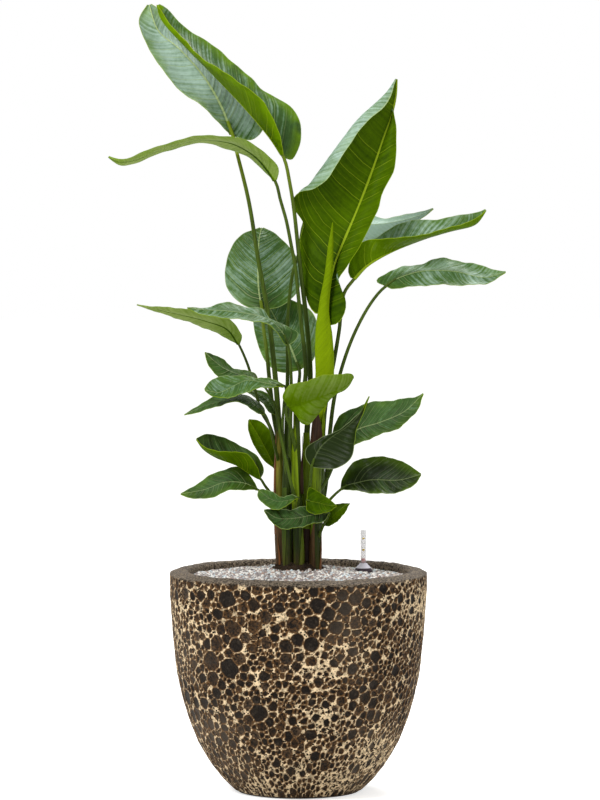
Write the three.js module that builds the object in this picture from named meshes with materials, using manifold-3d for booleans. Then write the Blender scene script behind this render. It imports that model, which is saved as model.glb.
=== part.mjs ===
// A potted bird of paradise: a round cratered pot with its fill, gravel and
// water gauge, eight shoots and twenty-seven leaves.
// Millimetres, +Z up, the origin is the centre of the pot's flat base.
// The side that is seen first faces -Y.
import * as THREE from "three";
import Module from "manifold-3d";

// ---- pot -------------------------------------------------------------
const POT_RADIUS = 215;
const POT_HEIGHT = 372;
const BASE_RADIUS = 104;
const INNER_RADIUS = 184;
const WALL = POT_RADIUS - INNER_RADIUS;
const FLOOR_THICKNESS = 26;
const FLOOR_ROUND = 8;
const ROOM_HEIGHTS = [FLOOR_THICKNESS + FLOOR_ROUND, 66, 110, 165, 230, 300];
const POT_AROUND = 48;
const POT_ROWS = 12;
const RIM_BAND = 18;
const CRATER_DEPTH = 2.2;
const CRATER_SIZE = 40;
const CRATER_LOOSE = 0.7;

// ---- what the pot holds ------------------------------------------------
const FIT_GAP = 0.3;
const DRAIN_TOP = 88;
const FILL_TOP = 336;
const GRAVEL_TOP = 357;
const GRAVEL_RISE = 15;
const GRAVEL_BUMP = 2.4;
const GRAVEL_AROUND = 60;
const GRAVEL_RINGS = 7;
const BALL_RADIUS = 96;
const BALL_BOTTOM = 120;
const MOUND_RADIUS = 44;
const MOUND_TOP = 383;
const MOUND_SLOPE = 20;
const BALL_SIDES = 32;
const FILL_SIDES = 48;

// ---- water gauge -------------------------------------------------------
const GAUGE_X = 109;
const GAUGE_Y = 23;
const BELL_RADIUS = 15.5;
const TUBE_RADIUS = 5;
const TUBE_TOP = 436;
const SLEEVE_RADIUS = 8;
const SLEEVE_FOOT = 112;
const BELL_FOOT = 364.3;
const TUBE_WALL = 1.2;
const TUBE_IN_SLEEVE = 30;
const SLEEVE_FLOOR = 4;
const FLOAT_LOW = 17;
const FLOAT_HIGH = 23;
const FLOAT_STEM = 1.2;

// ---- plant -------------------------------------------------------------
const BLADE_THICKNESS = 1.6;
const MARGIN_THICKNESS = 0.9;
const STALK_SIDES = 5;
const SHOOT_SIDES = 8;
const BLADE_FROM = 0.02;
const BLADE_TO = 0.985;
const SHOOT_FOOT = 300;
const SHOOT_ROWS = 7;
const SHOULDER = 0.65;
const DEPTH_SPREAD = 1.6;

const wasm = await Module();
wasm.setup();
const { Manifold, Mesh } = wasm;

const group = new THREE.Group();
const planter = new THREE.Group();
const gauge = new THREE.Group();
const plant = new THREE.Group();
group.add(planter, gauge, plant);

// ---- vectors -----------------------------------------------------------
const vec = (p) => new THREE.Vector3(p[0], p[1], p[2]);

// A smooth curve through the points of a list.
function curve(points) {
  return new THREE.CatmullRomCurve3(points.map(vec), false, "centripetal");
}

// Points at even steps along a curve, from one share of its length to another.
function steps(points, count, from = 0, to = 1) {
  const line = curve(points);
  line.arcLengthDivisions = 300;
  const out = [];
  for (let i = 0; i <= count; i += 1) {
    out.push(line.getPointAt(from + ((to - from) * i) / count));
  }
  return out;
}

// The direction of a run of points at each of them.
function directions(points) {
  const last = points.length - 1;
  return points.map((p, i) => {
    const ahead = points[Math.min(i + 1, last)];
    const behind = points[Math.max(i - 1, 0)];
    return ahead.clone().sub(behind).normalize();
  });
}

// Seeded draws between 0 and 1 from two whole numbers.
function draw(a, b) {
  let n = (Math.imul(a + 101, 374761393) + Math.imul(b + 57, 668265263)) | 0;
  n = Math.imul(n ^ (n >>> 13), 1274126177);
  return ((n ^ (n >>> 16)) >>> 0) / 4294967296;
}

// ---- solids ------------------------------------------------------------
function solid(points, triangles) {
  const vertProperties = new Float32Array(points.length * 3);
  points.forEach((p, i) => p.toArray(vertProperties, i * 3));
  const triVerts = new Uint32Array(triangles);
  return new Manifold(new Mesh({ numProp: 3, vertProperties, triVerts }));
}

// Joins the rows of a closed ring of points, with the first and last rows
// closed by a fan about their middle point.
function skin(rows) {
  const around = rows[0].length;
  const points = rows.flat();
  const triangles = [];
  for (let i = 0; i + 1 < rows.length; i += 1) {
    for (let j = 0; j < around; j += 1) {
      const a = i * around + j;
      const b = i * around + ((j + 1) % around);
      triangles.push(a, b, b + around, a, b + around, a + around);
    }
  }
  const cap = (start, ring, flip) => {
    const middle = new THREE.Vector3();
    ring.forEach((p) => middle.addScaledVector(p, 1 / around));
    const centre = points.push(middle) - 1;
    for (let j = 0; j < around; j += 1) {
      const a = start + j;
      const b = start + ((j + 1) % around);
      triangles.push(...(flip ? [b, a, centre] : [a, b, centre]));
    }
  };
  cap(0, rows[0], true);
  cap((rows.length - 1) * around, rows[rows.length - 1], false);
  return solid(points, triangles);
}

// A rod that follows a list of points, its radius given at each share of it.
function rod(points, count, sides, radius, flat = () => 1) {
  const line = steps(points, count);
  const along = directions(line);
  const rows = line.map((p, i) => {
    const share = i / count;
    const right = along[i].clone().cross(new THREE.Vector3(0.13, -1, 0.07)).normalize();
    const front = right.clone().cross(along[i]).normalize();
    const size = radius(share);
    const ring = [];
    for (let j = 0; j < sides; j += 1) {
      const turn = (2 * Math.PI * j) / sides;
      ring.push(p.clone()
        .addScaledVector(right, Math.cos(turn) * size)
        .addScaledVector(front, -Math.sin(turn) * size * flat(share)));
    }
    return ring;
  });
  return skin(rows);
}

// A turned solid: the outline runs from the axis round to the axis again.
function turned(outline, sides) {
  const rows = outline.map(([radius, height]) => {
    const ring = [];
    for (let j = 0; j < sides; j += 1) {
      const turn = (2 * Math.PI * j) / sides;
      ring.push(new THREE.Vector3(radius * Math.cos(turn), radius * Math.sin(turn), height));
    }
    return ring;
  });
  return skin(rows);
}

function add(parent, name, body, colour, roughness) {
  const mesh = body.getMesh();
  const geometry = new THREE.BufferGeometry();
  const count = mesh.vertProperties.length / mesh.numProp;
  const places = new Float32Array(count * 3);
  for (let i = 0; i < count; i += 1) {
    for (let k = 0; k < 3; k += 1) {
      places[i * 3 + k] = mesh.vertProperties[i * mesh.numProp + k];
    }
  }
  geometry.setAttribute("position", new THREE.BufferAttribute(places, 3));
  geometry.setIndex(new THREE.BufferAttribute(new Uint32Array(mesh.triVerts), 1));
  geometry.computeVertexNormals();
  const material = new THREE.MeshStandardMaterial({ color: colour, roughness, metalness: 0 });
  const node = new THREE.Mesh(geometry, material);
  node.name = name;
  parent.add(node);
}

// The largest piece of a body, without the crumbs that a cut leaves.
function main(body) {
  const parts = body.decompose();
  return parts.reduce((best, part) => (part.volume() > best.volume() ? part : best));
}

// ---- pot ---------------------------------------------------------------
// Radius of the wall at a height: a round belly over a small flat base.
const POT_OUTLINE = [
  [BASE_RADIUS, 0], [117, 12], [127, 22], [143, 42], [156, 62], [168, 83], [184, 123],
  [196, 164], [204, 204], [210, 265], [213, 305], [POT_RADIUS, 335],
];

// The rim, from outside to inside: radius and depth below the pot's top.
const RIM = [
  [POT_RADIUS, 11], [POT_RADIUS - 3, 6], [POT_RADIUS - 12, 2], [INNER_RADIUS + 9, 0],
  [INNER_RADIUS + 3, 2], [INNER_RADIUS, 8],
];

function wallRadius(height) {
  for (let i = 1; i < POT_OUTLINE.length; i += 1) {
    const [r0, z0] = POT_OUTLINE[i - 1];
    const [r1, z1] = POT_OUTLINE[i];
    if (height <= z1) {
      return r0 + ((r1 - r0) * (height - z0)) / (z1 - z0);
    }
  }
  return POT_RADIUS;
}

// How deep the nearest crater is at a place on the wall: 0 on the net
// between the craters and 1 in the middle of one.
function crater(turn, height) {
  const wrap = Math.round((2 * Math.PI * POT_RADIUS) / CRATER_SIZE);
  const across = (turn / (2 * Math.PI)) * wrap;
  const up = height / CRATER_SIZE;
  const edge = (1 - CRATER_LOOSE) / 2;
  let nearest = 9;
  let second = 9;
  for (let i = -1; i <= 1; i += 1) {
    for (let j = -1; j <= 1; j += 1) {
      const column = Math.floor(across) + i;
      const row = Math.floor(up) + j;
      const key = ((column % wrap) + wrap) % wrap;
      const x = column + edge + CRATER_LOOSE * draw(key, row);
      const y = row + edge + CRATER_LOOSE * draw(key + 500, row);
      const away = Math.hypot(x - across, y - up);
      if (away < nearest) {
        second = nearest;
        nearest = away;
      } else if (away < second) {
        second = away;
      }
    }
  }
  return Math.min(1, Math.max(0, (second - nearest) * 1.8));
}

function pot() {
  const rows = [];
  const ring = (radius, height, depth) => {
    const points = [];
    for (let j = 0; j < POT_AROUND; j += 1) {
      const turn = (2 * Math.PI * j) / POT_AROUND;
      const r = radius - depth * crater(turn, height);
      points.push(new THREE.Vector3(r * Math.cos(turn), r * Math.sin(turn), height));
    }
    rows.push(points);
  };
  ring(BASE_RADIUS - 6, 0, 0);
  ring(BASE_RADIUS, 1.5, 0);
  const top = POT_HEIGHT - RIM_BAND;
  for (let i = 1; i <= POT_ROWS; i += 1) {
    const height = 6 + ((top - 6) * i) / POT_ROWS;
    ring(wallRadius(height), height, i < POT_ROWS ? CRATER_DEPTH : 0);
  }
  for (const [radius, below] of RIM) {
    ring(radius, POT_HEIGHT - below, 0);
  }
  for (const height of ROOM_HEIGHTS.slice().reverse()) {
    ring(wallRadius(height) - WALL, height, 0);
  }
  ring(wallRadius(ROOM_HEIGHTS[0]) - WALL - FLOOR_ROUND, FLOOR_THICKNESS, 0);
  return skin(rows);
}

// Radius of the room inside the pot at a height.
function roomRadius(height) {
  const heights = [...ROOM_HEIGHTS, POT_HEIGHT - 8];
  const radii = [...ROOM_HEIGHTS.map((z) => wallRadius(z) - WALL), INNER_RADIUS];
  for (let i = 1; i < heights.length; i += 1) {
    if (height <= heights[i]) {
      const share = (height - heights[i - 1]) / (heights[i] - heights[i - 1]);
      return radii[i - 1] + (radii[i] - radii[i - 1]) * share;
    }
  }
  return INNER_RADIUS;
}

const inRoom = (height) => [roomRadius(height) - FIT_GAP, height];

// ---- plant: shoots -----------------------------------------------------
// Each: its path, and its radius at the foot, at the shoulder and at the top.
const SHOOTS = {
  a: { path: [[-27, 0, 345], [-30, 0, 430], [-32, 2, 520], [-31, 2, 602]],
    radii: [8.2, 8.5, 5.5] },
  b: { path: [[-18, -17, 345], [-19, -19, 430], [-20, -20, 500], [-18, -20, 560]],
    radii: [8.2, 8.2, 6] },
  c: { path: [[1, -21, 345], [0, -22, 430], [-2, -24, 540], [-3, -24, 640]],
    radii: [9, 7.8, 5] },
  d: { path: [[15, -4, 345], [14, -3, 430], [14, -2, 520], [14, 0, 600]],
    radii: [8.8, 8.5, 5.5] },
  e: { path: [[28, -17, 345], [28, -19, 430], [30, -21, 520], [33, -24, 620]],
    radii: [8.5, 8.5, 7] },
  f: { path: [[-14, 21, 345], [-17, 24, 430], [-22, 26, 500], [-26, 28, 560]],
    radii: [9, 8.5, 6] },
  g: { path: [[27, 17, 345], [30, 20, 430], [36, 20, 500], [38, 20, 560]], radii: [9, 8.5, 6] },
  h: { path: [[-7, 2, 345], [-7, 3, 430], [-6, 4, 500], [-6, 6, 556]], radii: [8.5, 8, 6] },
};

function shootRod(shoot, extra) {
  const [x, y] = shoot.path[0];
  const points = [[x, y, SHOOT_FOOT - extra], ...shoot.path];
  const last = points[points.length - 1];
  const end = [last[0], last[1], last[2] + extra];
  const [low, middle, high] = shoot.radii;
  const radius = (share) => extra + (share < SHOULDER
    ? low + ((middle - low) * share) / SHOULDER
    : middle + ((high - middle) * (share - SHOULDER)) / (1 - SHOULDER));
  return rod([...points.slice(0, -1), end], SHOOT_ROWS, SHOOT_SIDES, radius);
}

const shootBodies = {};
const shootRooms = {};
for (const [key, shoot] of Object.entries(SHOOTS)) {
  shootBodies[key] = shootRod(shoot, 0);
  shootRooms[key] = shootRod(shoot, FIT_GAP);
}

// ---- plant: leaves -----------------------------------------------------
// Each leaf: its stalk from the shoot to the blade, the rib from there to the
// tip, and the left and right margins between the two, as seen on the upper
// face with the tip up. bow: how far each half arches; wave: ripple at the
// margin and its count; radii: the stalk at its foot and at its neck.
const LEAVES = {
  leaf_01: {
    stalk: [[-31, 2, 596], [-38, 4, 688], [-50, 8, 794], [-67, 10, 889], [-83, 14, 987],
      [-103, 22, 1068]],
    rib: [[-109, 26, 1093], [-127, 30, 1141], [-158, 34, 1194], [-200, 40, 1241],
      [-235, 46, 1271], [-251, 50, 1318]],
    left: [[-122, 20, 1104], [-155, 16, 1140], [-193, 20, 1166], [-240, 30, 1224],
      [-267, 44, 1287]],
    right: [[-77, 34, 1088], [-57, 44, 1110], [-64, 52, 1150], [-92, 56, 1190],
      [-142, 60, 1238], [-192, 58, 1277], [-230, 54, 1305]],
    bow: [6, 6], wave: [1.5, 4], radii: [5, 3.8], rows: 12, half: 3,
  },
  leaf_02: {
    stalk: [[14, 0, 594], [20, 0, 694], [13, 0, 793], [8, -2, 836], [0, -6, 905],
      [-7, -8, 970], [-14, -9, 1015]],
    rib: [[-24, -10, 1058], [-45, -12, 1090], [-88, -12, 1141], [-138, -8, 1193],
      [-188, 0, 1243], [-228, 12, 1288], [-237, 20, 1316]],
    left: [[-27, -20, 1077], [-35, -34, 1110], [-60, -44, 1151], [-100, -42, 1185],
      [-148, -30, 1214], [-180, -14, 1244], [-206, 0, 1271]],
    right: [[-10, 0, 1055], [5, 12, 1090], [-3, 18, 1130], [-23, 18, 1151], [-62, 20, 1172],
      [-82, 22, 1193], [-127, 24, 1233], [-190, 24, 1277], [-223, 22, 1309]],
    bow: [3, 6], wave: [1.5, 4], radii: [5, 3.6], rows: 12, half: 3,
  },
  leaf_03: {
    stalk: [[-3, -24, 634], [12, -18, 695], [5, -18, 780], [0, -18, 829], [-5, -19, 876],
      [-12, -20, 914], [-20, -20, 954], [-30, -18, 989]],
    rib: [[-37, -16, 1016], [-52, -14, 1039], [-68, -14, 1058], [-92, -14, 1075],
      [-117, -14, 1085], [-170, -16, 1088], [-223, -20, 1075], [-271, -24, 1055],
      [-298, -26, 1052], [-318, -28, 1062]],
    left: [[-33, -28, 1040], [-52, -34, 1064], [-92, -36, 1088], [-143, -36, 1095],
      [-196, -36, 1088], [-250, -34, 1070], [-290, -32, 1056]],
    right: [[-55, -2, 1034], [-80, 4, 1056], [-117, 6, 1072], [-160, 4, 1083],
      [-223, -4, 1068], [-275, -14, 1048], [-298, -20, 1046]],
    bow: [4, 3], wave: [1, 4], radii: [4, 3.4], rows: 12, half: 2,
  },
  leaf_04: {
    stalk: [[36, 20, 500], [41, 8, 575], [41, 6, 680], [43, 3, 750]],
    rib: [[47, 0, 800], [60, 0, 871], [87, 0, 939], [120, 2, 1022], [143, 6, 1090],
      [155, 8, 1123], [163, 12, 1158], [165, 16, 1194]],
    left: [[52, -8, 781], [66, -14, 785], [79, -14, 806], [77, -10, 828], [64, -6, 850],
      [80, -8, 876], [98, -8, 903], [116, -8, 940], [134, -8, 975], [140, -6, 1001],
      [160, -4, 1042], [162, 2, 1108], [158, 8, 1140], [163, 12, 1168]],
    right: [[30, 2, 798], [17, 8, 815], [7, 14, 867], [3, 14, 915], [8, 12, 950],
      [-4, 8, 968], [-10, 4, 985], [2, -6, 1001], [24, -16, 1006], [50, -24, 1024],
      [71, -24, 1060], [112, -16, 1115], [148, -2, 1150]],
    crest: [[32, 4, 830], [26, 8, 885], [24, 14, 935], [22, 10, 960], [20, 4, 985],
      [28, -2, 1006], [43, -8, 1038], [64, -10, 1070], [106, -4, 1126], [148, 6, 1168]],
    bow: [6, 0], wave: [1.5, 5], radii: [4.5, 4], rows: 12, half: 3,
  },
  leaf_06: {
    stalk: [[38, 20, 552], [46, 18, 650], [60, 14, 722], [68, 10, 770], [76, 6, 832]],
    rib: [[90, 4, 853], [115, 4, 879], [152, 6, 901], [197, 8, 919], [250, 10, 936],
      [296, 10, 948], [314, 10, 974]],
    left: [[92, 16, 868], [106, 26, 906], [134, 30, 926], [160, 32, 944], [200, 32, 954],
      [233, 30, 955], [268, 24, 962], [300, 16, 968]],
    right: [[83, 8, 871], [104, 2, 916], [137, -10, 924], [176, -20, 926], [208, -18, 932],
      [250, -12, 942], [284, -2, 953], [304, 6, 963]],
    bow: [4, 4], wave: [1, 4], radii: [4.5, 3.6], rows: 11, half: 2,
  },
  leaf_07: {
    stalk: [[-22, 26, 500], [-20, 38, 600], [-18, 40, 700], [-18, 40, 780], [-9, 40, 867],
      [0, 42, 895], [10, 46, 950], [26, 50, 972]],
    rib: [[50, 52, 968], [112, 54, 947], [170, 54, 952], [205, 54, 962], [229, 54, 974]],
    left: [[62, 58, 978], [92, 64, 978], [137, 66, 957], [170, 64, 960], [202, 60, 967]],
    right: [[56, 46, 945], [78, 42, 922], [108, 40, 915], [150, 42, 930], [180, 46, 945],
      [210, 50, 958]],
    bow: [4, 4], wave: [1, 3], radii: [4, 3.2], rows: 9, half: 2,
  },
  leaf_08: {
    stalk: [[34, 20, 440], [47, 26, 520], [53, 22, 600], [62, 10, 667], [85, 2, 746],
      [112, -2, 803], [132, -4, 832]],
    rib: [[145, -9, 845], [163, -10, 858], [205, -12, 871], [260, -12, 870], [308, -14, 860],
      [346, -16, 870]],
    left: [[130, 0, 853], [147, 6, 867], [170, 10, 875], [196, 12, 879], [233, 12, 890],
      [286, 6, 883], [330, -8, 872]],
    right: [[154, -20, 842], [178, -26, 844], [215, -28, 848], [268, -28, 848],
      [310, -24, 850], [334, -18, 862]],
    bow: [4, 4], wave: [1.5, 4], radii: [4.4, 3.2], rows: 11, half: 2,
  },
  leaf_09: {
    stalk: [[-26, 28, 552], [-42, 38, 630], [-48, 42, 680], [-54, 48, 740], [-59, 54, 775]],
    rib: [[-61, 58, 803], [-67, 62, 840], [-68, 66, 881], [-66, 74, 922], [-62, 88, 941]],
    left: [[-84, 62, 806], [-108, 70, 821], [-121, 76, 840], [-124, 78, 868], [-117, 80, 898],
      [-96, 86, 928]],
    right: [[-34, 64, 806], [-14, 70, 818], [2, 74, 838], [6, 76, 866], [-8, 78, 898],
      [-38, 84, 929]],
    bow: [5, 5], wave: [1, 3], radii: [4.6, 3.6], rows: 10, half: 2,
  },
  leaf_10: {
    stalk: [[-6, 6, 548], [-2, 22, 620], [0, 40, 670]],
    rib: [[2, 52, 700], [-15, 64, 742], [-43, 84, 793], [-58, 96, 822]],
    left: [[-26, 50, 696], [-50, 56, 708], [-64, 66, 730], [-76, 82, 775], [-72, 94, 805]],
    right: [[24, 54, 716], [34, 62, 758], [24, 74, 796], [-14, 90, 818], [-42, 98, 826]],
    bow: [4, 4], wave: [1.5, 3], radii: [4.4, 3.4], rows: 8, half: 2,
  },
  leaf_11: {
    stalk: [[-14, -20, 554], [-13, -30, 620], [-12, -38, 700]],
    rib: [[-17, -42, 748], [-25, -44, 768], [-47, -46, 791], [-80, -48, 801],
      [-122, -50, 806], [-160, -52, 808], [-186, -54, 812]],
    left: [[-24, -52, 752], [-32, -58, 768], [-54, -62, 786], [-84, -64, 791],
      [-122, -62, 795], [-158, -58, 800]],
    right: [[-4, -38, 757], [0, -34, 768], [-18, -32, 778], [-46, -30, 792], [-60, -30, 808],
      [-84, -30, 810], [-114, -32, 819], [-152, -42, 811], [-170, -48, 811]],
    bow: [3, 3], wave: [1, 4], radii: [3.8, 3], rows: 11, half: 2,
  },
  leaf_12: {
    stalk: [[-31, 2, 560], [-48, 10, 610], [-62, 8, 635], [-72, 7, 670], [-84, 3, 712]],
    rib: [[-98, -8, 746], [-117, -14, 774], [-155, -16, 789], [-213, -20, 803],
      [-270, -24, 816]],
    left: [[-94, -20, 764], [-110, -26, 788], [-137, -30, 797], [-188, -32, 809],
      [-236, -30, 812]],
    right: [[-112, -4, 754], [-147, 0, 771], [-181, -2, 784], [-224, -10, 799]],
    bow: [3, 3], wave: [1, 4], radii: [3.4, 2.6], rows: 9, half: 2,
  },
  leaf_13: {
    stalk: [[-2, -24, 480], [-10, -34, 510], [-20, -36, 555], [-30, -34, 600],
      [-39, -28, 648]],
    rib: [[-67, -22, 690], [-97, -22, 698], [-127, -24, 711], [-156, -26, 736]],
    left: [[-76, -32, 688], [-100, -36, 688], [-130, -34, 694], [-148, -30, 712]],
    right: [[-72, -14, 700], [-107, -10, 708], [-130, -14, 726], [-146, -20, 733]],
    bow: [2, 2], wave: [1, 3], radii: [3.2, 2.4], rows: 7, half: 2,
  },
  leaf_14: {
    stalk: [[-16, -20, 500], [-26, -28, 600], [-24, -36, 650]],
    rib: [[-22, -48, 681], [-55, -48, 687], [-85, -48, 691], [-110, -50, 680],
      [-130, -52, 671], [-156, -54, 676]],
    left: [[-46, -56, 680], [-72, -60, 677], [-100, -62, 667], [-130, -60, 663],
      [-146, -56, 668]],
    right: [[-35, -40, 690], [-72, -36, 695], [-113, -38, 698], [-143, -46, 692]],
    bow: [3, 3], wave: [1.5, 4], radii: [3.4, 2.6], rows: 9, half: 2,
  },
  leaf_15: {
    stalk: [[-32, 2, 548], [-42, -16, 590], [-48, -20, 615]],
    rib: [[-55, -22, 632], [-72, -22, 648], [-92, -24, 658], [-122, -26, 656],
      [-155, -28, 647], [-191, -30, 632]],
    left: [[-68, -28, 635], [-87, -34, 650], [-108, -38, 655], [-133, -38, 648],
      [-163, -34, 638]],
    right: [[-58, -14, 645], [-80, -10, 660], [-117, -10, 667], [-151, -16, 656]],
    bow: [2, 2], wave: [1, 3], radii: [3, 2.2], rows: 8, half: 2,
  },
  leaf_16: {
    stalk: [[-2, -24, 560], [-12, -38, 610], [-20, -44, 634]],
    rib: [[-18, -46, 648], [8, -48, 654], [45, -50, 667], [75, -52, 680], [92, -54, 697]],
    left: [[-2, -42, 630], [6, -40, 619], [18, -38, 617], [38, -40, 640], [58, -46, 664],
      [80, -50, 678]],
    right: [[-26, -52, 664], [-16, -60, 682], [8, -66, 690], [40, -68, 700], [72, -64, 703],
      [88, -58, 702]],
    bow: [3, 4], wave: [1.5, 3], radii: [3.6, 3], rows: 9, half: 2,
  },
  leaf_17: {
    stalk: [[32, -21, 500], [46, -16, 520], [60, -8, 550]],
    rib: [[67, -3, 568], [95, -7, 603], [137, -11, 618], [178, -15, 637], [209, -19, 668]],
    left: [[56, 5, 590], [68, 11, 624], [112, 13, 646], [168, 7, 654], [195, -7, 660]],
    right: [[78, -11, 566], [96, -21, 581], [124, -25, 594], [170, -27, 612],
      [198, -24, 640]],
    bow: [4, 4], wave: [1.5, 4], radii: [3.6, 3], rows: 10, half: 2,
  },
  leaf_18: {
    stalk: [[14, -2, 470], [16, -20, 495], [20, -30, 525]],
    rib: [[22, -34, 546], [28, -36, 564], [37, -38, 580], [53, -42, 596], [78, -44, 613],
      [98, -46, 632], [118, -44, 667]],
    left: [[12, -34, 562], [13, -34, 578], [33, -34, 592], [62, -36, 606], [92, -40, 628],
      [107, -42, 645]],
    right: [[38, -42, 545], [63, -48, 546], [86, -52, 562], [93, -54, 590], [97, -52, 613],
      [107, -48, 638]],
    bow: [3, 4], wave: [1, 3], radii: [3.4, 2.8], rows: 10, half: 2,
  },
  leaf_19: {
    stalk: [[31, -20, 458], [46, -24, 482], [60, -26, 498]],
    rib: [[70, -28, 507], [78, -29, 514], [97, -30, 519], [120, -32, 524], [168, -34, 524],
      [205, -36, 534]],
    left: [[73, -20, 524], [90, -12, 549], [118, -8, 559], [160, -10, 557], [188, -22, 545]],
    right: [[87, -38, 508], [128, -46, 503], [170, -46, 506], [194, -42, 519]],
    bow: [3, 3], wave: [1, 4], radii: [3.2, 2.6], rows: 9, half: 2,
  },
  leaf_20: {
    stalk: [[-32, 1, 480], [-46, -10, 500], [-56, -16, 514]],
    rib: [[-63, -20, 525], [-76, -22, 532], [-100, -24, 548], [-137, -26, 562],
      [-158, -28, 576], [-170, -28, 593]],
    left: [[-68, -30, 546], [-83, -40, 567], [-112, -44, 574], [-132, -42, 573],
      [-154, -36, 580]],
    right: [[-57, -10, 539], [-67, -4, 559], [-97, 0, 579], [-130, -6, 594], [-152, -18, 600]],
    bow: [2, 3], wave: [1, 3], radii: [3.2, 2.6], rows: 9, half: 2,
  },
  leaf_21: {
    stalk: [[-32, 0, 462], [-46, -18, 488], [-58, -24, 502]],
    rib: [[-67, -28, 508], [-87, -30, 519], [-122, -32, 521], [-155, -32, 509],
      [-197, -32, 501]],
    left: [[-83, -38, 509], [-113, -44, 509], [-147, -42, 496], [-176, -38, 495]],
    right: [[-75, -20, 524], [-97, -14, 544], [-137, -14, 535], [-170, -22, 516]],
    bow: [3, 3], wave: [1, 3], radii: [3, 2.4], rows: 8, half: 2,
  },
  leaf_22: {
    stalk: [[-18, 24, 430], [-28, 34, 480], [-36, 34, 515]],
    rib: [[-38, 34, 536], [-53, 36, 566], [-68, 40, 593], [-84, 44, 619]],
    left: [[-56, 34, 549], [-74, 36, 575], [-84, 40, 601]],
    right: [[-32, 38, 560], [-42, 42, 590], [-63, 46, 615]],
    bow: [3, 3], wave: [1, 3], radii: [3.2, 2.4], rows: 7, half: 2,
  },
  leaf_23: {
    stalk: [[-2, -22, 460], [0, -32, 480]],
    rib: [[0, -38, 495], [-19, -42, 491], [-37, -44, 490], [-53, -46, 498], [-66, -46, 509]],
    left: [[-13, -48, 488], [-32, -54, 477], [-53, -52, 483], [-67, -50, 498]],
    right: [[-10, -34, 500], [-25, -34, 495], [-44, -38, 505], [-58, -42, 510]],
    bow: [2, 2], wave: [1, 3], radii: [2.8, 2], rows: 8, half: 2,
  },
  leaf_24: {
    stalk: [[31, -19, 420], [43, -34, 452]],
    rib: [[51, -40, 470], [24, -48, 468], [-5, -52, 463], [-34, -52, 463], [-58, -52, 477]],
    left: [[44, -46, 458], [22, -58, 454], [0, -62, 449], [-18, -62, 446], [-40, -58, 453]],
    right: [[38, -32, 480], [10, -40, 481], [-15, -44, 476], [-40, -46, 478]],
    bow: [2, 2], wave: [1.5, 4], radii: [3, 2.2], rows: 9, half: 2,
  },
  leaf_25: {
    stalk: [[15, -2, 440], [16, -24, 474]],
    rib: [[14, -32, 491], [33, -34, 487], [50, -36, 483], [64, -36, 482]],
    left: [[18, -32, 512], [33, -31, 505], [45, -30, 497], [58, -34, 488]],
    right: [[15, -42, 474], [33, -46, 470], [53, -42, 475]],
    bow: [2, 3], wave: [1, 3], radii: [3, 2.2], rows: 7, half: 2,
  },
  leaf_26: {
    stalk: [[32, -18, 420], [38, -4, 438]],
    rib: [[42, -2, 444], [60, -4, 461], [74, -6, 474], [86, -8, 482]],
    left: [[45, 4, 464], [54, 8, 477], [68, 6, 479], [80, 0, 481]],
    right: [[54, -12, 445], [74, -14, 462]],
    bow: [2, 2], wave: [0.6, 3], radii: [2.8, 2], rows: 6, half: 2,
  },
  leaf_27: {
    stalk: [[-31, 2, 520], [-37, 12, 580]],
    rib: [[-36, 14, 628], [-47, 17, 647], [-63, 22, 660], [-92, 28, 670]],
    left: [[-47, 10, 632], [-60, 12, 648], [-77, 18, 660]],
    right: [[-37, 20, 643], [-48, 24, 661], [-70, 30, 669]],
    bow: [2, 2], wave: [0.6, 3], radii: [2.8, 2], rows: 6, half: 2,
  },
};

// The points of one half of a blade, from the rib out to the margin.
function halfRows(leaf, side, rib, along, rows) {
  const tip = leaf.rib[leaf.rib.length - 1];
  const ends = [BLADE_FROM, BLADE_TO];
  const margin = steps([leaf.rib[0], ...leaf[side], tip], rows, ...ends);
  const crest = side === "right" && leaf.crest
    ? steps([leaf.rib[0], ...leaf.crest, tip], rows, ...ends) : null;
  const bow = leaf.bow[side === "left" ? 0 : 1];
  const [ripple, count] = leaf.wave;
  const phase = side === "left" ? 0.4 : 2.1;
  return rib.map((start, i) => {
    const share = i / rows;
    const reach = margin[i].clone().sub(start);
    const up = side === "left"
      ? along[i].clone().cross(reach).normalize()
      : reach.clone().cross(along[i]).normalize();
    const swell = Math.sqrt(Math.sin(Math.PI * (0.04 + 0.92 * share)));
    const lift = ripple * Math.sin(2 * Math.PI * count * share + phase) * swell;
    const row = [];
    for (let j = 1; j <= leaf.half; j += 1) {
      const out = j / leaf.half;
      const point = start.clone();
      if (crest) {
        const bend = crest[i].clone().multiplyScalar(2)
          .addScaledVector(start, -0.5).addScaledVector(margin[i], -0.5);
        point.multiplyScalar((1 - out) ** 2)
          .addScaledVector(bend, 2 * out * (1 - out))
          .addScaledVector(margin[i], out * out);
      } else {
        point.addScaledVector(reach, out)
          .addScaledVector(up, -bow * swell * 4 * out * (1 - out));
      }
      row.push(point.addScaledVector(up, lift * out * out));
    }
    return row;
  });
}

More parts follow.
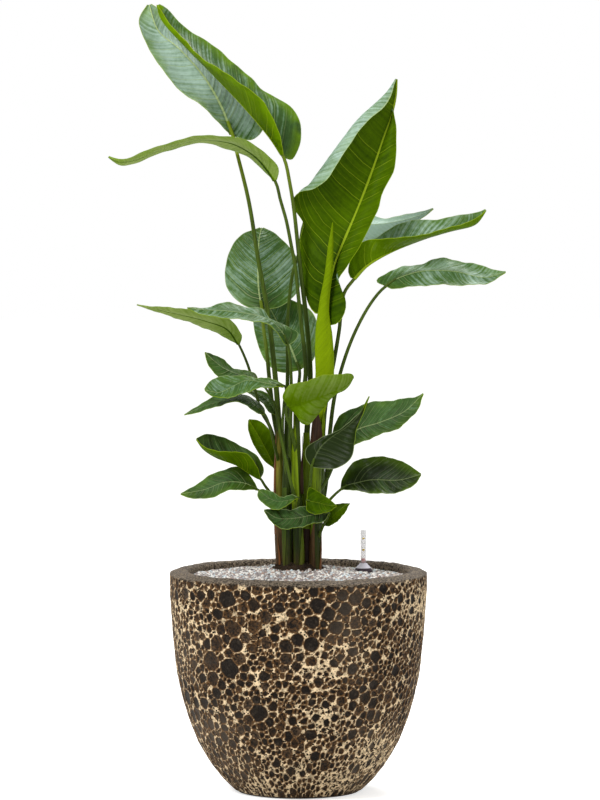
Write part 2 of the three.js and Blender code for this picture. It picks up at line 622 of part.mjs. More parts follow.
// A blade as a thin closed sheet, split alike on both faces.
function blade(leaf) {
  const rows = leaf.rows;
  const rib = steps(leaf.rib, rows, BLADE_FROM, BLADE_TO);
  const along = directions(rib);
  const left = halfRows(leaf, "left", rib, along, rows);
  const right = halfRows(leaf, "right", rib, along, rows);
  const grid = rib.map((p, i) => [...left[i].slice().reverse(), p, ...right[i]]);
  const wide = grid[0].length;
  const points = [];
  for (const face of [1, -1]) {
    grid.forEach((row, i) => row.forEach((p, j) => {
      const near = grid[Math.max(i - 1, 0)][j];
      const far = grid[Math.min(i + 1, rows)][j];
      const before = row[Math.max(j - 1, 0)];
      const after = row[Math.min(j + 1, wide - 1)];
      const up = after.clone().sub(before).cross(far.clone().sub(near)).normalize();
      const out = Math.abs(j - leaf.half) / leaf.half;
      const edge = BLADE_THICKNESS + (MARGIN_THICKNESS - BLADE_THICKNESS) * out;
      const keel = 2 * leaf.radii[1] * (1 - i / rows);
      const thick = j === leaf.half ? Math.max(edge, keel) : edge;
      points.push(p.clone().addScaledVector(up, (face * thick) / 2));
    }));
  }
  const size = grid.length * wide;
  const triangles = [];
  const quad = (a, b, c, d) => triangles.push(a, b, c, a, c, d);
  for (let i = 0; i < rows; i += 1) {
    for (let j = 0; j + 1 < wide; j += 1) {
      const a = i * wide + j;
      quad(a, a + 1, a + 1 + wide, a + wide);
      triangles.push(size + a, size + a + 1 + wide, size + a + 1);
      triangles.push(size + a, size + a + wide, size + a + 1 + wide);
    }
  }
  for (let i = 0; i < rows; i += 1) {
    const a = i * wide;
    quad(a, a + wide, size + a + wide, size + a);
    const b = a + wide - 1;
    quad(b, size + b, size + b + wide, b + wide);
  }
  for (let j = 0; j + 1 < wide; j += 1) {
    quad(j, size + j, size + j + 1, j + 1);
    const b = rows * wide + j;
    quad(b, b + 1, size + b + 1, size + b);
  }
  return solid(points, triangles);
}

// A leaf's points with the plant's depth widened about the leaf's own foot.
function widened(leaf) {
  const foot = leaf.stalk[0][1];
  const place = ([x, y, z]) => [x, foot + (y - foot) * DEPTH_SPREAD, z];
  const out = { ...leaf };
  for (const key of ["stalk", "rib", "left", "right", "crest"]) {
    if (leaf[key]) {
      out[key] = leaf[key].map(place);
    }
  }
  return out;
}

function leafBody(plan) {
  const leaf = widened(plan);
  const [foot, neck] = leaf.radii;
  const inside = steps(leaf.rib, 10)[1];
  const stalk = [...leaf.stalk, leaf.rib[0], inside.toArray()];
  const stem = rod(stalk, leaf.stalk.length + 4, STALK_SIDES,
    (share) => foot + (neck * 0.75 - foot) * share);
  let body = stem.add(blade(leaf));
  for (const room of Object.values(shootRooms)) {
    body = body.subtract(room);
  }
  return main(body);
}

// ---- young rolled leaf that rises out of the front shoot ----------------
const SPEAR = [[33, -24, 620.4], [36, -26, 650], [43, -28, 695], [43, -28, 721],
  [42, -28, 753], [41, -28, 792], [43, -28, 821], [50, -28, 868], [53, -28, 905],
  [57, -28, 951]];
const SPEAR_WIDTH = [7, 13, 15.5, 16, 14, 9, 7, 6, 4.5, 0.8];

function spear() {
  const last = SPEAR_WIDTH.length - 1;
  const width = (share) => {
    const place = Math.min(share * last, last - 1e-6);
    const low = Math.floor(place);
    const rest = place - low;
    return SPEAR_WIDTH[low] * (1 - rest) + SPEAR_WIDTH[low + 1] * rest;
  };
  const flat = (share) => (share < 0.45 ? 0.5 : 0.8);
  return rod(SPEAR, 18, 8, width, flat);
}

// ---- build ---------------------------------------------------------------
add(planter, "pot", pot(), "#4a3c2e", 0.75);

const gaugeRod = (radius, from, to, sides = 16) => Manifold
  .cylinder(to - from, radius, radius, sides)
  .translate([GAUGE_X, GAUGE_Y, from]);

const drainFloor = FLOOR_THICKNESS + FIT_GAP;
const [floorEdge, firstWall, ...upperWalls] = ROOM_HEIGHTS;
add(planter, "drainage_layer", turned([
  [roomRadius(floorEdge) - FLOOR_ROUND - 2 * FIT_GAP, drainFloor], inRoom(floorEdge + 1),
  inRoom(firstWall), inRoom(DRAIN_TOP),
], 40), "#8a5a3c", 0.9);

const ballFoot = BALL_RADIUS - 26;
const ballHeel = BALL_RADIUS - 18;
const ball = turned([
  [ballFoot, BALL_BOTTOM], [ballHeel, BALL_BOTTOM + 6],
  [BALL_RADIUS, FILL_TOP - 6], [BALL_RADIUS - 5, FILL_TOP], [MOUND_RADIUS, FILL_TOP],
  [MOUND_RADIUS, GRAVEL_TOP + GRAVEL_RISE - 2], [MOUND_RADIUS - 8, MOUND_TOP - 5],
  [MOUND_RADIUS - MOUND_SLOPE, MOUND_TOP],
], BALL_SIDES);
const ballRoom = turned([
  [ballFoot + FIT_GAP, BALL_BOTTOM - FIT_GAP], [ballHeel + FIT_GAP, BALL_BOTTOM + 6 - FIT_GAP],
  [BALL_RADIUS + FIT_GAP, FILL_TOP - 6], [BALL_RADIUS + FIT_GAP, MOUND_TOP],
], BALL_SIDES);

const fill = turned([
  inRoom(DRAIN_TOP + FIT_GAP), ...upperWalls.map(inRoom), inRoom(FILL_TOP),
], FILL_SIDES)
  .subtract(ballRoom)
  .subtract(gaugeRod(SLEEVE_RADIUS + FIT_GAP, SLEEVE_FOOT - FIT_GAP, GRAVEL_TOP));
add(planter, "substrate", main(fill), "#6b5a48", 0.95);

let ballBody = ball;
for (const room of Object.values(shootRooms)) {
  ballBody = ballBody.subtract(room);
}
add(planter, "root_ball", main(ballBody), "#3a2a1e", 0.95);

// Gravel: a ring that is heaped towards the soil, its top raised grain by grain.
function gravel() {
  const around = GRAVEL_AROUND;
  const inner = MOUND_RADIUS + FIT_GAP;
  const outer = roomRadius(FILL_TOP) - FIT_GAP;
  const low = FILL_TOP + FIT_GAP;
  const middle = 20;
  const rows = [];
  const ring = (radius, height, bump) => {
    const points = [];
    for (let j = 0; j < around; j += 1) {
      const turn = (2 * Math.PI * (j + 0.5 * (rows.length % 2))) / around;
      const lift = bump * (draw(j, rows.length) - 0.5) * 2;
      points.push(new THREE.Vector3(
        radius * Math.cos(turn), radius * Math.sin(turn), height + lift));
    }
    rows.push(points);
  };
  ring(middle, low, 0);
  ring(outer - 1, low, 0);
  for (let i = 0; i < GRAVEL_RINGS; i += 1) {
    const radius = outer + ((inner - outer) * i) / (GRAVEL_RINGS - 1) - 2 * FIT_GAP;
    ring(radius, GRAVEL_TOP + (GRAVEL_RISE * i) / (GRAVEL_RINGS - 1), GRAVEL_BUMP);
  }
  ring(middle, GRAVEL_TOP + GRAVEL_RISE, 0);
  const body = skin(rows);
  const well = Manifold.cylinder(80, inner, inner, BALL_SIDES).translate([0, 0, low - 20]);
  return body.subtract(well);
}
const sleeveRoom = gaugeRod(SLEEVE_RADIUS + FIT_GAP, FILL_TOP - 10, MOUND_TOP);
const bellSeat = gaugeRod(BELL_RADIUS + FIT_GAP, BELL_FOOT - FIT_GAP, MOUND_TOP);
add(planter, "gravel", main(gravel().subtract(sleeveRoom).subtract(bellSeat)), "#cfcac2", 0.85);

// Water gauge: a sleeve in the fill, a bell cap, a clear tube and a float.
const tubeRoom = TUBE_RADIUS + FIT_GAP;
const sleeveTop = BELL_FOOT - FIT_GAP;
const tubeFoot = BELL_FOOT - TUBE_IN_SLEEVE;
const sleeveFloor = SLEEVE_FOOT + SLEEVE_FLOOR;
add(gauge, "gauge_sleeve", gaugeRod(SLEEVE_RADIUS, SLEEVE_FOOT, sleeveTop)
  .subtract(gaugeRod(tubeRoom, sleeveFloor, sleeveTop + 2)), "#2f2b35", 0.5);

const bell = turned([
  [BELL_RADIUS, 0], [BELL_RADIUS, 3], [BELL_RADIUS - 2.5, 7], [BELL_RADIUS - 7, 12],
  [TUBE_RADIUS + 1.6, 15],
], 24).translate([GAUGE_X, GAUGE_Y, BELL_FOOT]);
add(gauge, "gauge_bell", bell.subtract(gaugeRod(tubeRoom, BELL_FOOT - 2, BELL_FOOT + 30)),
  "#8d87a3", 0.25);

const tube = gaugeRod(TUBE_RADIUS, tubeFoot, TUBE_TOP)
  .subtract(gaugeRod(TUBE_RADIUS - TUBE_WALL, tubeFoot - 2, TUBE_TOP - 1.5));
add(gauge, "gauge_tube", tube, "#dfe3e6", 0.15);

const floatRadius = TUBE_RADIUS - TUBE_WALL - FIT_GAP;
const floatFoot = BELL_FOOT + FLOAT_LOW;
add(gauge, "gauge_float", gaugeRod(floatRadius, floatFoot, BELL_FOOT + FLOAT_HIGH)
  .add(gaugeRod(FLOAT_STEM, sleeveFloor + FIT_GAP, floatFoot + 1, 8)), "#c8281e", 0.45);

for (const [key, body] of Object.entries(shootBodies)) {
  add(plant, `shoot_${key}`, body, "#7d8f3a", 0.6);
}

let spearBody = spear();
for (const room of Object.values(shootRooms)) {
  spearBody = spearBody.subtract(room);
}
add(plant, "leaf_05", main(spearBody), "#9fc42a", 0.5);

for (const [name, leaf] of Object.entries(LEAVES)) {
  add(plant, name, leafBody(leaf), "#4f8a3a", 0.5);
}

export default group;
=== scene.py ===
"""Potted bird of paradise: the fine model over the packed frame.

Metres, +Z up, the origin is the centre of the pot's flat base, and the side
that is seen first faces -Y. The leaf, shoot and gauge figures repeat the
part's own driving points, in millimetres.
"""
import math
from collections import namedtuple

import bpy
import numpy as np
from bpy.props import FloatProperty, FloatVectorProperty, IntProperty, PointerProperty
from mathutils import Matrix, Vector, kdtree, noise


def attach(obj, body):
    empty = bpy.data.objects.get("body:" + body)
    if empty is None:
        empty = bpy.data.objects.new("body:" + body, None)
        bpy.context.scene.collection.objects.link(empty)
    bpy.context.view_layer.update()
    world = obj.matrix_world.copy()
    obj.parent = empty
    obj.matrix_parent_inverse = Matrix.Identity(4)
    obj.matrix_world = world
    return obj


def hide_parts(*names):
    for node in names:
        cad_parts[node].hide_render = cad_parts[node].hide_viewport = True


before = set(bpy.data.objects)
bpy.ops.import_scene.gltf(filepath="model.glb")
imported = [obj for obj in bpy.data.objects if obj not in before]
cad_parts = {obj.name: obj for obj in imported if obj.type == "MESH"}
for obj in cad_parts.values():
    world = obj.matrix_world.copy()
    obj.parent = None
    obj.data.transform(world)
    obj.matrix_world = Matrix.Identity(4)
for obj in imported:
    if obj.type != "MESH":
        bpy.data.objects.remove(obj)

bl_info = {
    "name": "Potted Bird of Paradise",
    "version": (1, 0, 0),
    "blender": (4, 5, 0),
    "location": "View3D > Sidebar > Houseplant",
    "description": "Fine model of a bird of paradise in a round lava-glazed pot",
    "category": "Object",
}

MM = 0.001
DM = 0.01  # millimetres to decimetres, which the maps of the leaves are in
BODY = "root"

# ---- figures of the part, in millimetres ------------------------------------
POT_RADIUS = 215
POT_HEIGHT = 372
BASE_RADIUS = 104
INNER_RADIUS = 184
FLOOR_THICKNESS = 26
POT_OUTLINE = [
    (BASE_RADIUS, 0), (117, 12), (127, 22), (143, 42), (156, 62), (168, 83), (184, 123),
    (196, 164), (204, 204), (210, 265), (213, 305), (POT_RADIUS, 335),
]
GRAVEL_TOP = 357
GRAVEL_REACH = 181
MOUND_RADIUS = 44
MOUND_RISE = ([0, 24, 36, 44, 50], [383.4, 383.4, 378.4, 370.6, 369])
GAUGE_X = 109
GAUGE_Y = 23
BELL_RADIUS = 15.5
BELL_FOOT = 364.3
BELL_HEIGHT = 15
BELL_DARK_FOOT = 6.2
SLEEVE_FOOT = 112
TUBE_RADIUS = 5
TUBE_WALL = 1.2
TUBE_TOP = 436
TICK_WIDTH = 4.4
TICKS = ((421.2, 2.4), (402, 3.2))  # each mark's level and height
FLOAT_REACH = (17, 23)  # the float's two ends over the bell's foot
SHOOT_FOOT = 300
SHEATH_SHEET = 0.7
BLADE_SHEET = 1
NECK_FADE = 70

# ---- shares of a leaf and a shoot -------------------------------------------
DEPTH_SPREAD = 1.6  # how much wider the plant grows to the front and the back
BLADE_SPAN = (0.02, 0.985)  # where on its rib a blade starts and ends
SHOULDER = 0.65  # where on a shoot its middle radius is
ASIDE = (0.13, -1, 0.07)  # a direction that no stalk runs along

# ---- how finely the pieces are divided: across or round, and along ----------
POT_GRID, POT_GRID_QUICK = (540, 168), (240, 80)
MOUND_GRID = (96, 26)
BLADE_GRID = (9, 54)  # across one half
STALK_GRID = (12, 44)
SPEAR_GRID = (40, 72)
SHOOT_GRID = (20, 60)
SHEATH_GRID = (14, 30)
PIPE_ROUND, BELL_ROUND, FLOAT_ROUND, TICK_ROUND = 32, 48, 24, 24

# ---- the shoots and the leaves ----------------------------------------------
# Each shoot: its path, radii at its foot, shoulder and top, its finish, and its sheaths.
# A sheath: the heights of its wide and its pointed end, the way that it faces in
# degrees, half its width in degrees, how far it stands off, and its finish.
SHOOTS = {
    "a": dict(path=[[-27, 0, 345], [-30, 0, 430], [-32, 2, 520], [-31, 2, 602]],
              radii=[8.2, 8.5, 5.5], finish="tan",
              sheaths=[(345, 470, 235, 95, 0.8, "husk"), (430, 608, 208, 30, 1.1, "rust"),
                       # The last strip is a painted orange highlight at the foot, on the side
                       # towards the key light and the camera.
                       (345, 428, 246, 11, 2.2, "rust")]),
    "b": dict(path=[[-18, -17, 345], [-19, -19, 430], [-20, -20, 500], [-18, -20, 560]],
              radii=[8.2, 8.2, 6], finish="dark",
              sheaths=[(510, 348, 238, 30, 0.9, "green")]),
    "c": dict(path=[[1, -21, 345], [0, -22, 430], [-2, -24, 540], [-3, -24, 640]],
              radii=[9, 7.8, 5], finish="green",
              sheaths=[(345, 452, 320, 50, 0.8, "fresh"), (500, 596, 348, 42, 3.4, "plum"),
                       (462, 644, 232, 62, 1.6, "lime"), (470, 350, 246, 34, 1.2, "dark")]),
    "d": dict(path=[[15, -4, 345], [14, -3, 430], [14, -2, 520], [14, 0, 600]],
              radii=[8.8, 8.5, 5.5], finish="lime",
              sheaths=[(345, 470, 262, 80, 0.8, "plum"), (440, 604, 248, 78, 2.6, "lime")]),
    "e": dict(path=[[28, -17, 345], [28, -19, 430], [30, -21, 520], [33, -24, 620]],
              radii=[8.5, 8.5, 7], finish="fresh",
              sheaths=[(345, 455, 262, 120, 0.8, "husk"), (345, 430, 345, 44, 3.0, "rust"),
                       (478, 350, 300, 44, 1.6, "dark"), (552, 652, 248, 62, 6.0, "plum"),
                       (572, 640, 335, 50, 4.0, "lime")]),
    "f": dict(path=[[-14, 21, 345], [-17, 24, 430], [-22, 26, 500], [-26, 28, 560]],
              radii=[9, 8.5, 6], finish="dark", sheaths=[(345, 470, 110, 110, 0.8, "husk")]),
    "g": dict(path=[[27, 17, 345], [30, 20, 430], [36, 20, 500], [38, 20, 560]],
              radii=[9, 8.5, 6], finish="green", sheaths=[(345, 480, 40, 110, 0.8, "husk")]),
    "h": dict(path=[[-7, 2, 345], [-7, 3, 430], [-6, 4, 500], [-6, 6, 556]],
              radii=[8.5, 8, 6], finish="dark", sheaths=[(345, 430, 270, 80, 0.8, "husk")]),
}

# Each leaf: its stalk, its rib from neck to tip, and its left and right margins
# as seen on the upper face with the tip up. crest: the line that a folded right
# half turns over at; bow: how far each half arches; wave: ripple at the margin
# and its count; radii: stalk at its foot and neck.
LEAVES = {
    "leaf_01": dict(
        stalk=[[-31, 2, 596], [-38, 4, 688], [-50, 8, 794], [-67, 10, 889], [-83, 14, 987],
             [-103, 22, 1068]],
        rib=[[-109, 26, 1093], [-127, 30, 1141], [-158, 34, 1194], [-200, 40, 1241],
             [-235, 46, 1271], [-251, 50, 1318]],
        left=[[-122, 20, 1104], [-155, 16, 1140], [-193, 20, 1166], [-240, 30, 1224],
             [-267, 44, 1287]],
        right=[[-77, 34, 1088], [-57, 44, 1110], [-64, 52, 1150], [-92, 56, 1190],
             [-142, 60, 1238], [-192, 58, 1277], [-230, 54, 1305]],
        bow=[6, 6], wave=[1.5, 4], radii=[5, 3.8],
    ),
    "leaf_02": dict(
        stalk=[[14, 0, 594], [20, 0, 694], [13, 0, 793], [8, -2, 836], [0, -6, 905],
             [-7, -8, 970], [-14, -9, 1015]],
        rib=[[-24, -10, 1058], [-45, -12, 1090], [-88, -12, 1141], [-138, -8, 1193],
             [-188, 0, 1243], [-228, 12, 1288], [-237, 20, 1316]],
        left=[[-27, -20, 1077], [-35, -34, 1110], [-60, -44, 1151], [-100, -42, 1185],
             [-148, -30, 1214], [-180, -14, 1244], [-206, 0, 1271]],
        right=[[-10, 0, 1055], [5, 12, 1090], [-3, 18, 1130], [-23, 18, 1151], [-62, 20, 1172],
             [-82, 22, 1193], [-127, 24, 1233], [-190, 24, 1277], [-223, 22, 1309]],
        bow=[3, 6], wave=[1.5, 4], radii=[5, 3.6],
    ),
    "leaf_03": dict(
        stalk=[[-3, -24, 634], [12, -18, 695], [5, -18, 780], [0, -18, 829], [-5, -19, 876],
             [-12, -20, 914], [-20, -20, 954], [-30, -18, 989]],
        rib=[[-37, -16, 1016], [-52, -14, 1039], [-68, -14, 1058], [-92, -14, 1075],
             [-117, -14, 1085], [-170, -16, 1088], [-223, -20, 1075], [-271, -24, 1055],
             [-298, -26, 1052], [-318, -28, 1062]],
        left=[[-33, -28, 1040], [-52, -34, 1064], [-92, -36, 1088], [-143, -36, 1095],
             [-196, -36, 1088], [-250, -34, 1070], [-290, -32, 1056]],
        right=[[-55, -2, 1034], [-80, 4, 1056], [-117, 6, 1072], [-160, 4, 1083],
             [-223, -4, 1068], [-275, -14, 1048], [-298, -20, 1046]],
        bow=[4, 3], wave=[1, 4], radii=[4, 3.4],
    ),
    "leaf_04": dict(
        stalk=[[36, 20, 500], [41, 8, 575], [41, 6, 680], [43, 3, 750]],
        rib=[[47, 0, 800], [60, 0, 871], [87, 0, 939], [120, 2, 1022], [143, 6, 1090],
             [155, 8, 1123], [163, 12, 1158], [165, 16, 1194]],
        left=[[52, -8, 781], [66, -14, 785], [79, -14, 806], [77, -10, 828], [64, -6, 850],
              [80, -8, 876], [98, -8, 903], [116, -8, 940], [134, -8, 975], [140, -6, 1001],
              [160, -4, 1042], [162, 2, 1108], [158, 8, 1140], [163, 12, 1168]],
        right=[[30, 2, 798], [17, 8, 815], [7, 14, 867], [3, 14, 915], [8, 12, 950],
               [-4, 8, 968], [-10, 4, 985], [2, -6, 1001], [24, -16, 1006], [50, -24, 1024],
               [71, -24, 1060], [112, -16, 1115], [148, -2, 1150]],
        crest=[[32, 4, 830], [26, 8, 885], [24, 14, 935], [22, 10, 960], [20, 4, 985],
               [28, -2, 1006], [43, -8, 1038], [64, -10, 1070], [106, -4, 1126],
               [148, 6, 1168]],
        bow=[6, 0], wave=[1.5, 5], radii=[4.5, 4],
    ),
    "leaf_06": dict(
        stalk=[[38, 20, 552], [46, 18, 650], [60, 14, 722], [68, 10, 770], [76, 6, 832]],
        rib=[[90, 4, 853], [115, 4, 879], [152, 6, 901], [197, 8, 919], [250, 10, 936],
             [296, 10, 948], [314, 10, 974]],
        left=[[92, 16, 868], [106, 26, 906], [134, 30, 926], [160, 32, 944], [200, 32, 954],
             [233, 30, 955], [268, 24, 962], [300, 16, 968]],
        right=[[83, 8, 871], [104, 2, 916], [137, -10, 924], [176, -20, 926], [208, -18, 932],
             [250, -12, 942], [284, -2, 953], [304, 6, 963]],
        bow=[4, 4], wave=[1, 4], radii=[4.5, 3.6],
    ),
    "leaf_07": dict(
        stalk=[[-22, 26, 500], [-20, 38, 600], [-18, 40, 700], [-18, 40, 780], [-9, 40, 867],
             [0, 42, 895], [10, 46, 950], [26, 50, 972]],
        rib=[[50, 52, 968], [112, 54, 947], [170, 54, 952], [205, 54, 962], [229, 54, 974]],
        left=[[62, 58, 978], [92, 64, 978], [137, 66, 957], [170, 64, 960], [202, 60, 967]],
        right=[[56, 46, 945], [78, 42, 922], [108, 40, 915], [150, 42, 930], [180, 46, 945],
             [210, 50, 958]],
        bow=[4, 4], wave=[1, 3], radii=[4, 3.2],
    ),
    "leaf_08": dict(
        stalk=[[34, 20, 440], [47, 26, 520], [53, 22, 600], [62, 10, 667], [85, 2, 746],
             [112, -2, 803], [132, -4, 832]],
        rib=[[145, -9, 845], [163, -10, 858], [205, -12, 871], [260, -12, 870], [308, -14, 860],
             [346, -16, 870]],
        left=[[130, 0, 853], [147, 6, 867], [170, 10, 875], [196, 12, 879], [233, 12, 890],
             [286, 6, 883], [330, -8, 872]],
        right=[[154, -20, 842], [178, -26, 844], [215, -28, 848], [268, -28, 848],
             [310, -24, 850], [334, -18, 862]],
        bow=[4, 4], wave=[1.5, 4], radii=[4.4, 3.2],
    ),
    "leaf_09": dict(
        stalk=[[-26, 28, 552], [-42, 38, 630], [-48, 42, 680], [-54, 48, 740], [-59, 54, 775]],
        rib=[[-61, 58, 803], [-67, 62, 840], [-68, 66, 881], [-66, 74, 922], [-62, 88, 941]],
        left=[[-84, 62, 806], [-108, 70, 821], [-121, 76, 840], [-124, 78, 868], [-117, 80, 898],
             [-96, 86, 928]],
        right=[[-34, 64, 806], [-14, 70, 818], [2, 74, 838], [6, 76, 866], [-8, 78, 898],
             [-38, 84, 929]],
        bow=[5, 5], wave=[1, 3], radii=[4.6, 3.6],
    ),
    "leaf_10": dict(
        stalk=[[-6, 6, 548], [-2, 22, 620], [0, 40, 670]],
        rib=[[2, 52, 700], [-15, 64, 742], [-43, 84, 793], [-58, 96, 822]],
        left=[[-26, 50, 696], [-50, 56, 708], [-64, 66, 730], [-76, 82, 775], [-72, 94, 805]],
        right=[[24, 54, 716], [34, 62, 758], [24, 74, 796], [-14, 90, 818], [-42, 98, 826]],
        bow=[4, 4], wave=[1.5, 3], radii=[4.4, 3.4],
    ),
    "leaf_11": dict(
        stalk=[[-14, -20, 554], [-13, -30, 620], [-12, -38, 700]],
        rib=[[-17, -42, 748], [-25, -44, 768], [-47, -46, 791], [-80, -48, 801],
             [-122, -50, 806], [-160, -52, 808], [-186, -54, 812]],
        left=[[-24, -52, 752], [-32, -58, 768], [-54, -62, 786], [-84, -64, 791],
             [-122, -62, 795], [-158, -58, 800]],
        right=[[-4, -38, 757], [0, -34, 768], [-18, -32, 778], [-46, -30, 792], [-60, -30, 808],
             [-84, -30, 810], [-114, -32, 819], [-152, -42, 811], [-170, -48, 811]],
        bow=[3, 3], wave=[1, 4], radii=[3.8, 3],
    ),
    "leaf_12": dict(
        stalk=[[-31, 2, 560], [-48, 10, 610], [-62, 8, 635], [-72, 7, 670], [-84, 3, 712]],
        rib=[[-98, -8, 746], [-117, -14, 774], [-155, -16, 789], [-213, -20, 803],
             [-270, -24, 816]],
        left=[[-94, -20, 764], [-110, -26, 788], [-137, -30, 797], [-188, -32, 809],
             [-236, -30, 812]],
        right=[[-112, -4, 754], [-147, 0, 771], [-181, -2, 784], [-224, -10, 799]],
        bow=[3, 3], wave=[1, 4], radii=[3.4, 2.6],
    ),
    "leaf_13": dict(
        stalk=[[-2, -24, 480], [-10, -34, 510], [-20, -36, 555], [-30, -34, 600],
               [-39, -28, 648]],
        rib=[[-67, -22, 690], [-97, -22, 698], [-127, -24, 711], [-156, -26, 736]],
        left=[[-76, -32, 688], [-100, -36, 688], [-130, -34, 694], [-148, -30, 712]],
        right=[[-72, -14, 700], [-107, -10, 708], [-130, -14, 726], [-146, -20, 733]],
        bow=[2, 2], wave=[1, 3], radii=[3.2, 2.4],
    ),
    "leaf_14": dict(
        stalk=[[-16, -20, 500], [-26, -28, 600], [-24, -36, 650]],
        rib=[[-22, -48, 681], [-55, -48, 687], [-85, -48, 691], [-110, -50, 680],
             [-130, -52, 671], [-156, -54, 676]],
        left=[[-46, -56, 680], [-72, -60, 677], [-100, -62, 667], [-130, -60, 663],
             [-146, -56, 668]],
        right=[[-35, -40, 690], [-72, -36, 695], [-113, -38, 698], [-143, -46, 692]],
        bow=[3, 3], wave=[1.5, 4], radii=[3.4, 2.6],
    ),
    "leaf_15": dict(
        stalk=[[-32, 2, 548], [-42, -16, 590], [-48, -20, 615]],
        rib=[[-55, -22, 632], [-72, -22, 648], [-92, -24, 658], [-122, -26, 656],
             [-155, -28, 647], [-191, -30, 632]],
        left=[[-68, -28, 635], [-87, -34, 650], [-108, -38, 655], [-133, -38, 648],
             [-163, -34, 638]],
        right=[[-58, -14, 645], [-80, -10, 660], [-117, -10, 667], [-151, -16, 656]],
        bow=[2, 2], wave=[1, 3], radii=[3, 2.2],
    ),
    "leaf_16": dict(
        stalk=[[-2, -24, 560], [-12, -38, 610], [-20, -44, 634]],
        rib=[[-18, -46, 648], [8, -48, 654], [45, -50, 667], [75, -52, 680], [92, -54, 697]],
        left=[[-2, -42, 630], [6, -40, 619], [18, -38, 617], [38, -40, 640], [58, -46, 664],
             [80, -50, 678]],
        right=[[-26, -52, 664], [-16, -60, 682], [8, -66, 690], [40, -68, 700], [72, -64, 703],
             [88, -58, 702]],
        bow=[3, 4], wave=[1.5, 3], radii=[3.6, 3],
    ),
    "leaf_17": dict(
        stalk=[[32, -21, 500], [46, -16, 520], [60, -8, 550]],
        rib=[[67, -3, 568], [95, -7, 603], [137, -11, 618], [178, -15, 637], [209, -19, 668]],
        left=[[56, 5, 590], [68, 11, 624], [112, 13, 646], [168, 7, 654], [195, -7, 660]],
        right=[[78, -11, 566], [96, -21, 581], [124, -25, 594], [170, -27, 612],
             [198, -24, 640]],
        bow=[4, 4], wave=[1.5, 4], radii=[3.6, 3],
    ),
    "leaf_18": dict(
        stalk=[[14, -2, 470], [16, -20, 495], [20, -30, 525]],
        rib=[[22, -34, 546], [28, -36, 564], [37, -38, 580], [53, -42, 596], [78, -44, 613],
             [98, -46, 632], [118, -44, 667]],
        left=[[12, -34, 562], [13, -34, 578], [33, -34, 592], [62, -36, 606], [92, -40, 628],
             [107, -42, 645]],
        right=[[38, -42, 545], [63, -48, 546], [86, -52, 562], [93, -54, 590], [97, -52, 613],
             [107, -48, 638]],
        bow=[3, 4], wave=[1, 3], radii=[3.4, 2.8],
    ),
    "leaf_19": dict(
        stalk=[[31, -20, 458], [46, -24, 482], [60, -26, 498]],
        rib=[[70, -28, 507], [78, -29, 514], [97, -30, 519], [120, -32, 524], [168, -34, 524],
             [205, -36, 534]],
        left=[[73, -20, 524], [90, -12, 549], [118, -8, 559], [160, -10, 557], [188, -22, 545]],
        right=[[87, -38, 508], [128, -46, 503], [170, -46, 506], [194, -42, 519]],
        bow=[3, 3], wave=[1, 4], radii=[3.2, 2.6],
    ),
    "leaf_20": dict(
        stalk=[[-32, 1, 480], [-46, -10, 500], [-56, -16, 514]],
        rib=[[-63, -20, 525], [-76, -22, 532], [-100, -24, 548], [-137, -26, 562],
             [-158, -28, 576], [-170, -28, 593]],
        left=[[-68, -30, 546], [-83, -40, 567], [-112, -44, 574], [-132, -42, 573],
             [-154, -36, 580]],
        right=[[-57, -10, 539], [-67, -4, 559], [-97, 0, 579], [-130, -6, 594], [-152, -18, 600]],
        bow=[2, 3], wave=[1, 3], radii=[3.2, 2.6],
    ),
    "leaf_21": dict(
        stalk=[[-32, 0, 462], [-46, -18, 488], [-58, -24, 502]],
        rib=[[-67, -28, 508], [-87, -30, 519], [-122, -32, 521], [-155, -32, 509],
             [-197, -32, 501]],
        left=[[-83, -38, 509], [-113, -44, 509], [-147, -42, 496], [-176, -38, 495]],
        right=[[-75, -20, 524], [-97, -14, 544], [-137, -14, 535], [-170, -22, 516]],
        bow=[3, 3], wave=[1, 3], radii=[3, 2.4],
    ),
    "leaf_22": dict(
        stalk=[[-18, 24, 430], [-28, 34, 480], [-36, 34, 515]],
        rib=[[-38, 34, 536], [-53, 36, 566], [-68, 40, 593], [-84, 44, 619]],
        left=[[-56, 34, 549], [-74, 36, 575], [-84, 40, 601]],
        right=[[-32, 38, 560], [-42, 42, 590], [-63, 46, 615]],
        bow=[3, 3], wave=[1, 3], radii=[3.2, 2.4],
    ),
    "leaf_23": dict(
        stalk=[[-2, -22, 460], [0, -32, 480]],
        rib=[[0, -38, 495], [-19, -42, 491], [-37, -44, 490], [-53, -46, 498],
             [-66, -46, 509]],
        left=[[-13, -48, 488], [-32, -54, 477], [-53, -52, 483], [-67, -50, 498]],
        right=[[-10, -34, 500], [-25, -34, 495], [-44, -38, 505], [-58, -42, 510]],
        bow=[2, 2], wave=[1, 3], radii=[2.8, 2],
    ),
    "leaf_24": dict(
        stalk=[[31, -19, 420], [43, -34, 452]],
        rib=[[51, -40, 470], [24, -48, 468], [-5, -52, 463], [-34, -52, 463],
             [-58, -52, 477]],
        left=[[44, -46, 458], [22, -58, 454], [0, -62, 449], [-18, -62, 446],
              [-40, -58, 453]],
        right=[[38, -32, 480], [10, -40, 481], [-15, -44, 476], [-40, -46, 478]],
        bow=[2, 2], wave=[1.5, 4], radii=[3, 2.2],
    ),
    "leaf_25": dict(
        stalk=[[15, -2, 440], [16, -24, 474]],
        rib=[[14, -32, 491], [33, -34, 487], [50, -36, 483], [64, -36, 482]],
        left=[[18, -32, 512], [33, -31, 505], [45, -30, 497], [58, -34, 488]],
        right=[[15, -42, 474], [33, -46, 470], [53, -42, 475]],
        bow=[2, 3], wave=[1, 3], radii=[3, 2.2],
    ),
    "leaf_26": dict(
        stalk=[[32, -18, 420], [38, -4, 438]],
        rib=[[42, -2, 444], [60, -4, 461], [74, -6, 474], [86, -8, 482]],
        left=[[45, 4, 464], [54, 8, 477], [68, 6, 479], [80, 0, 481]],
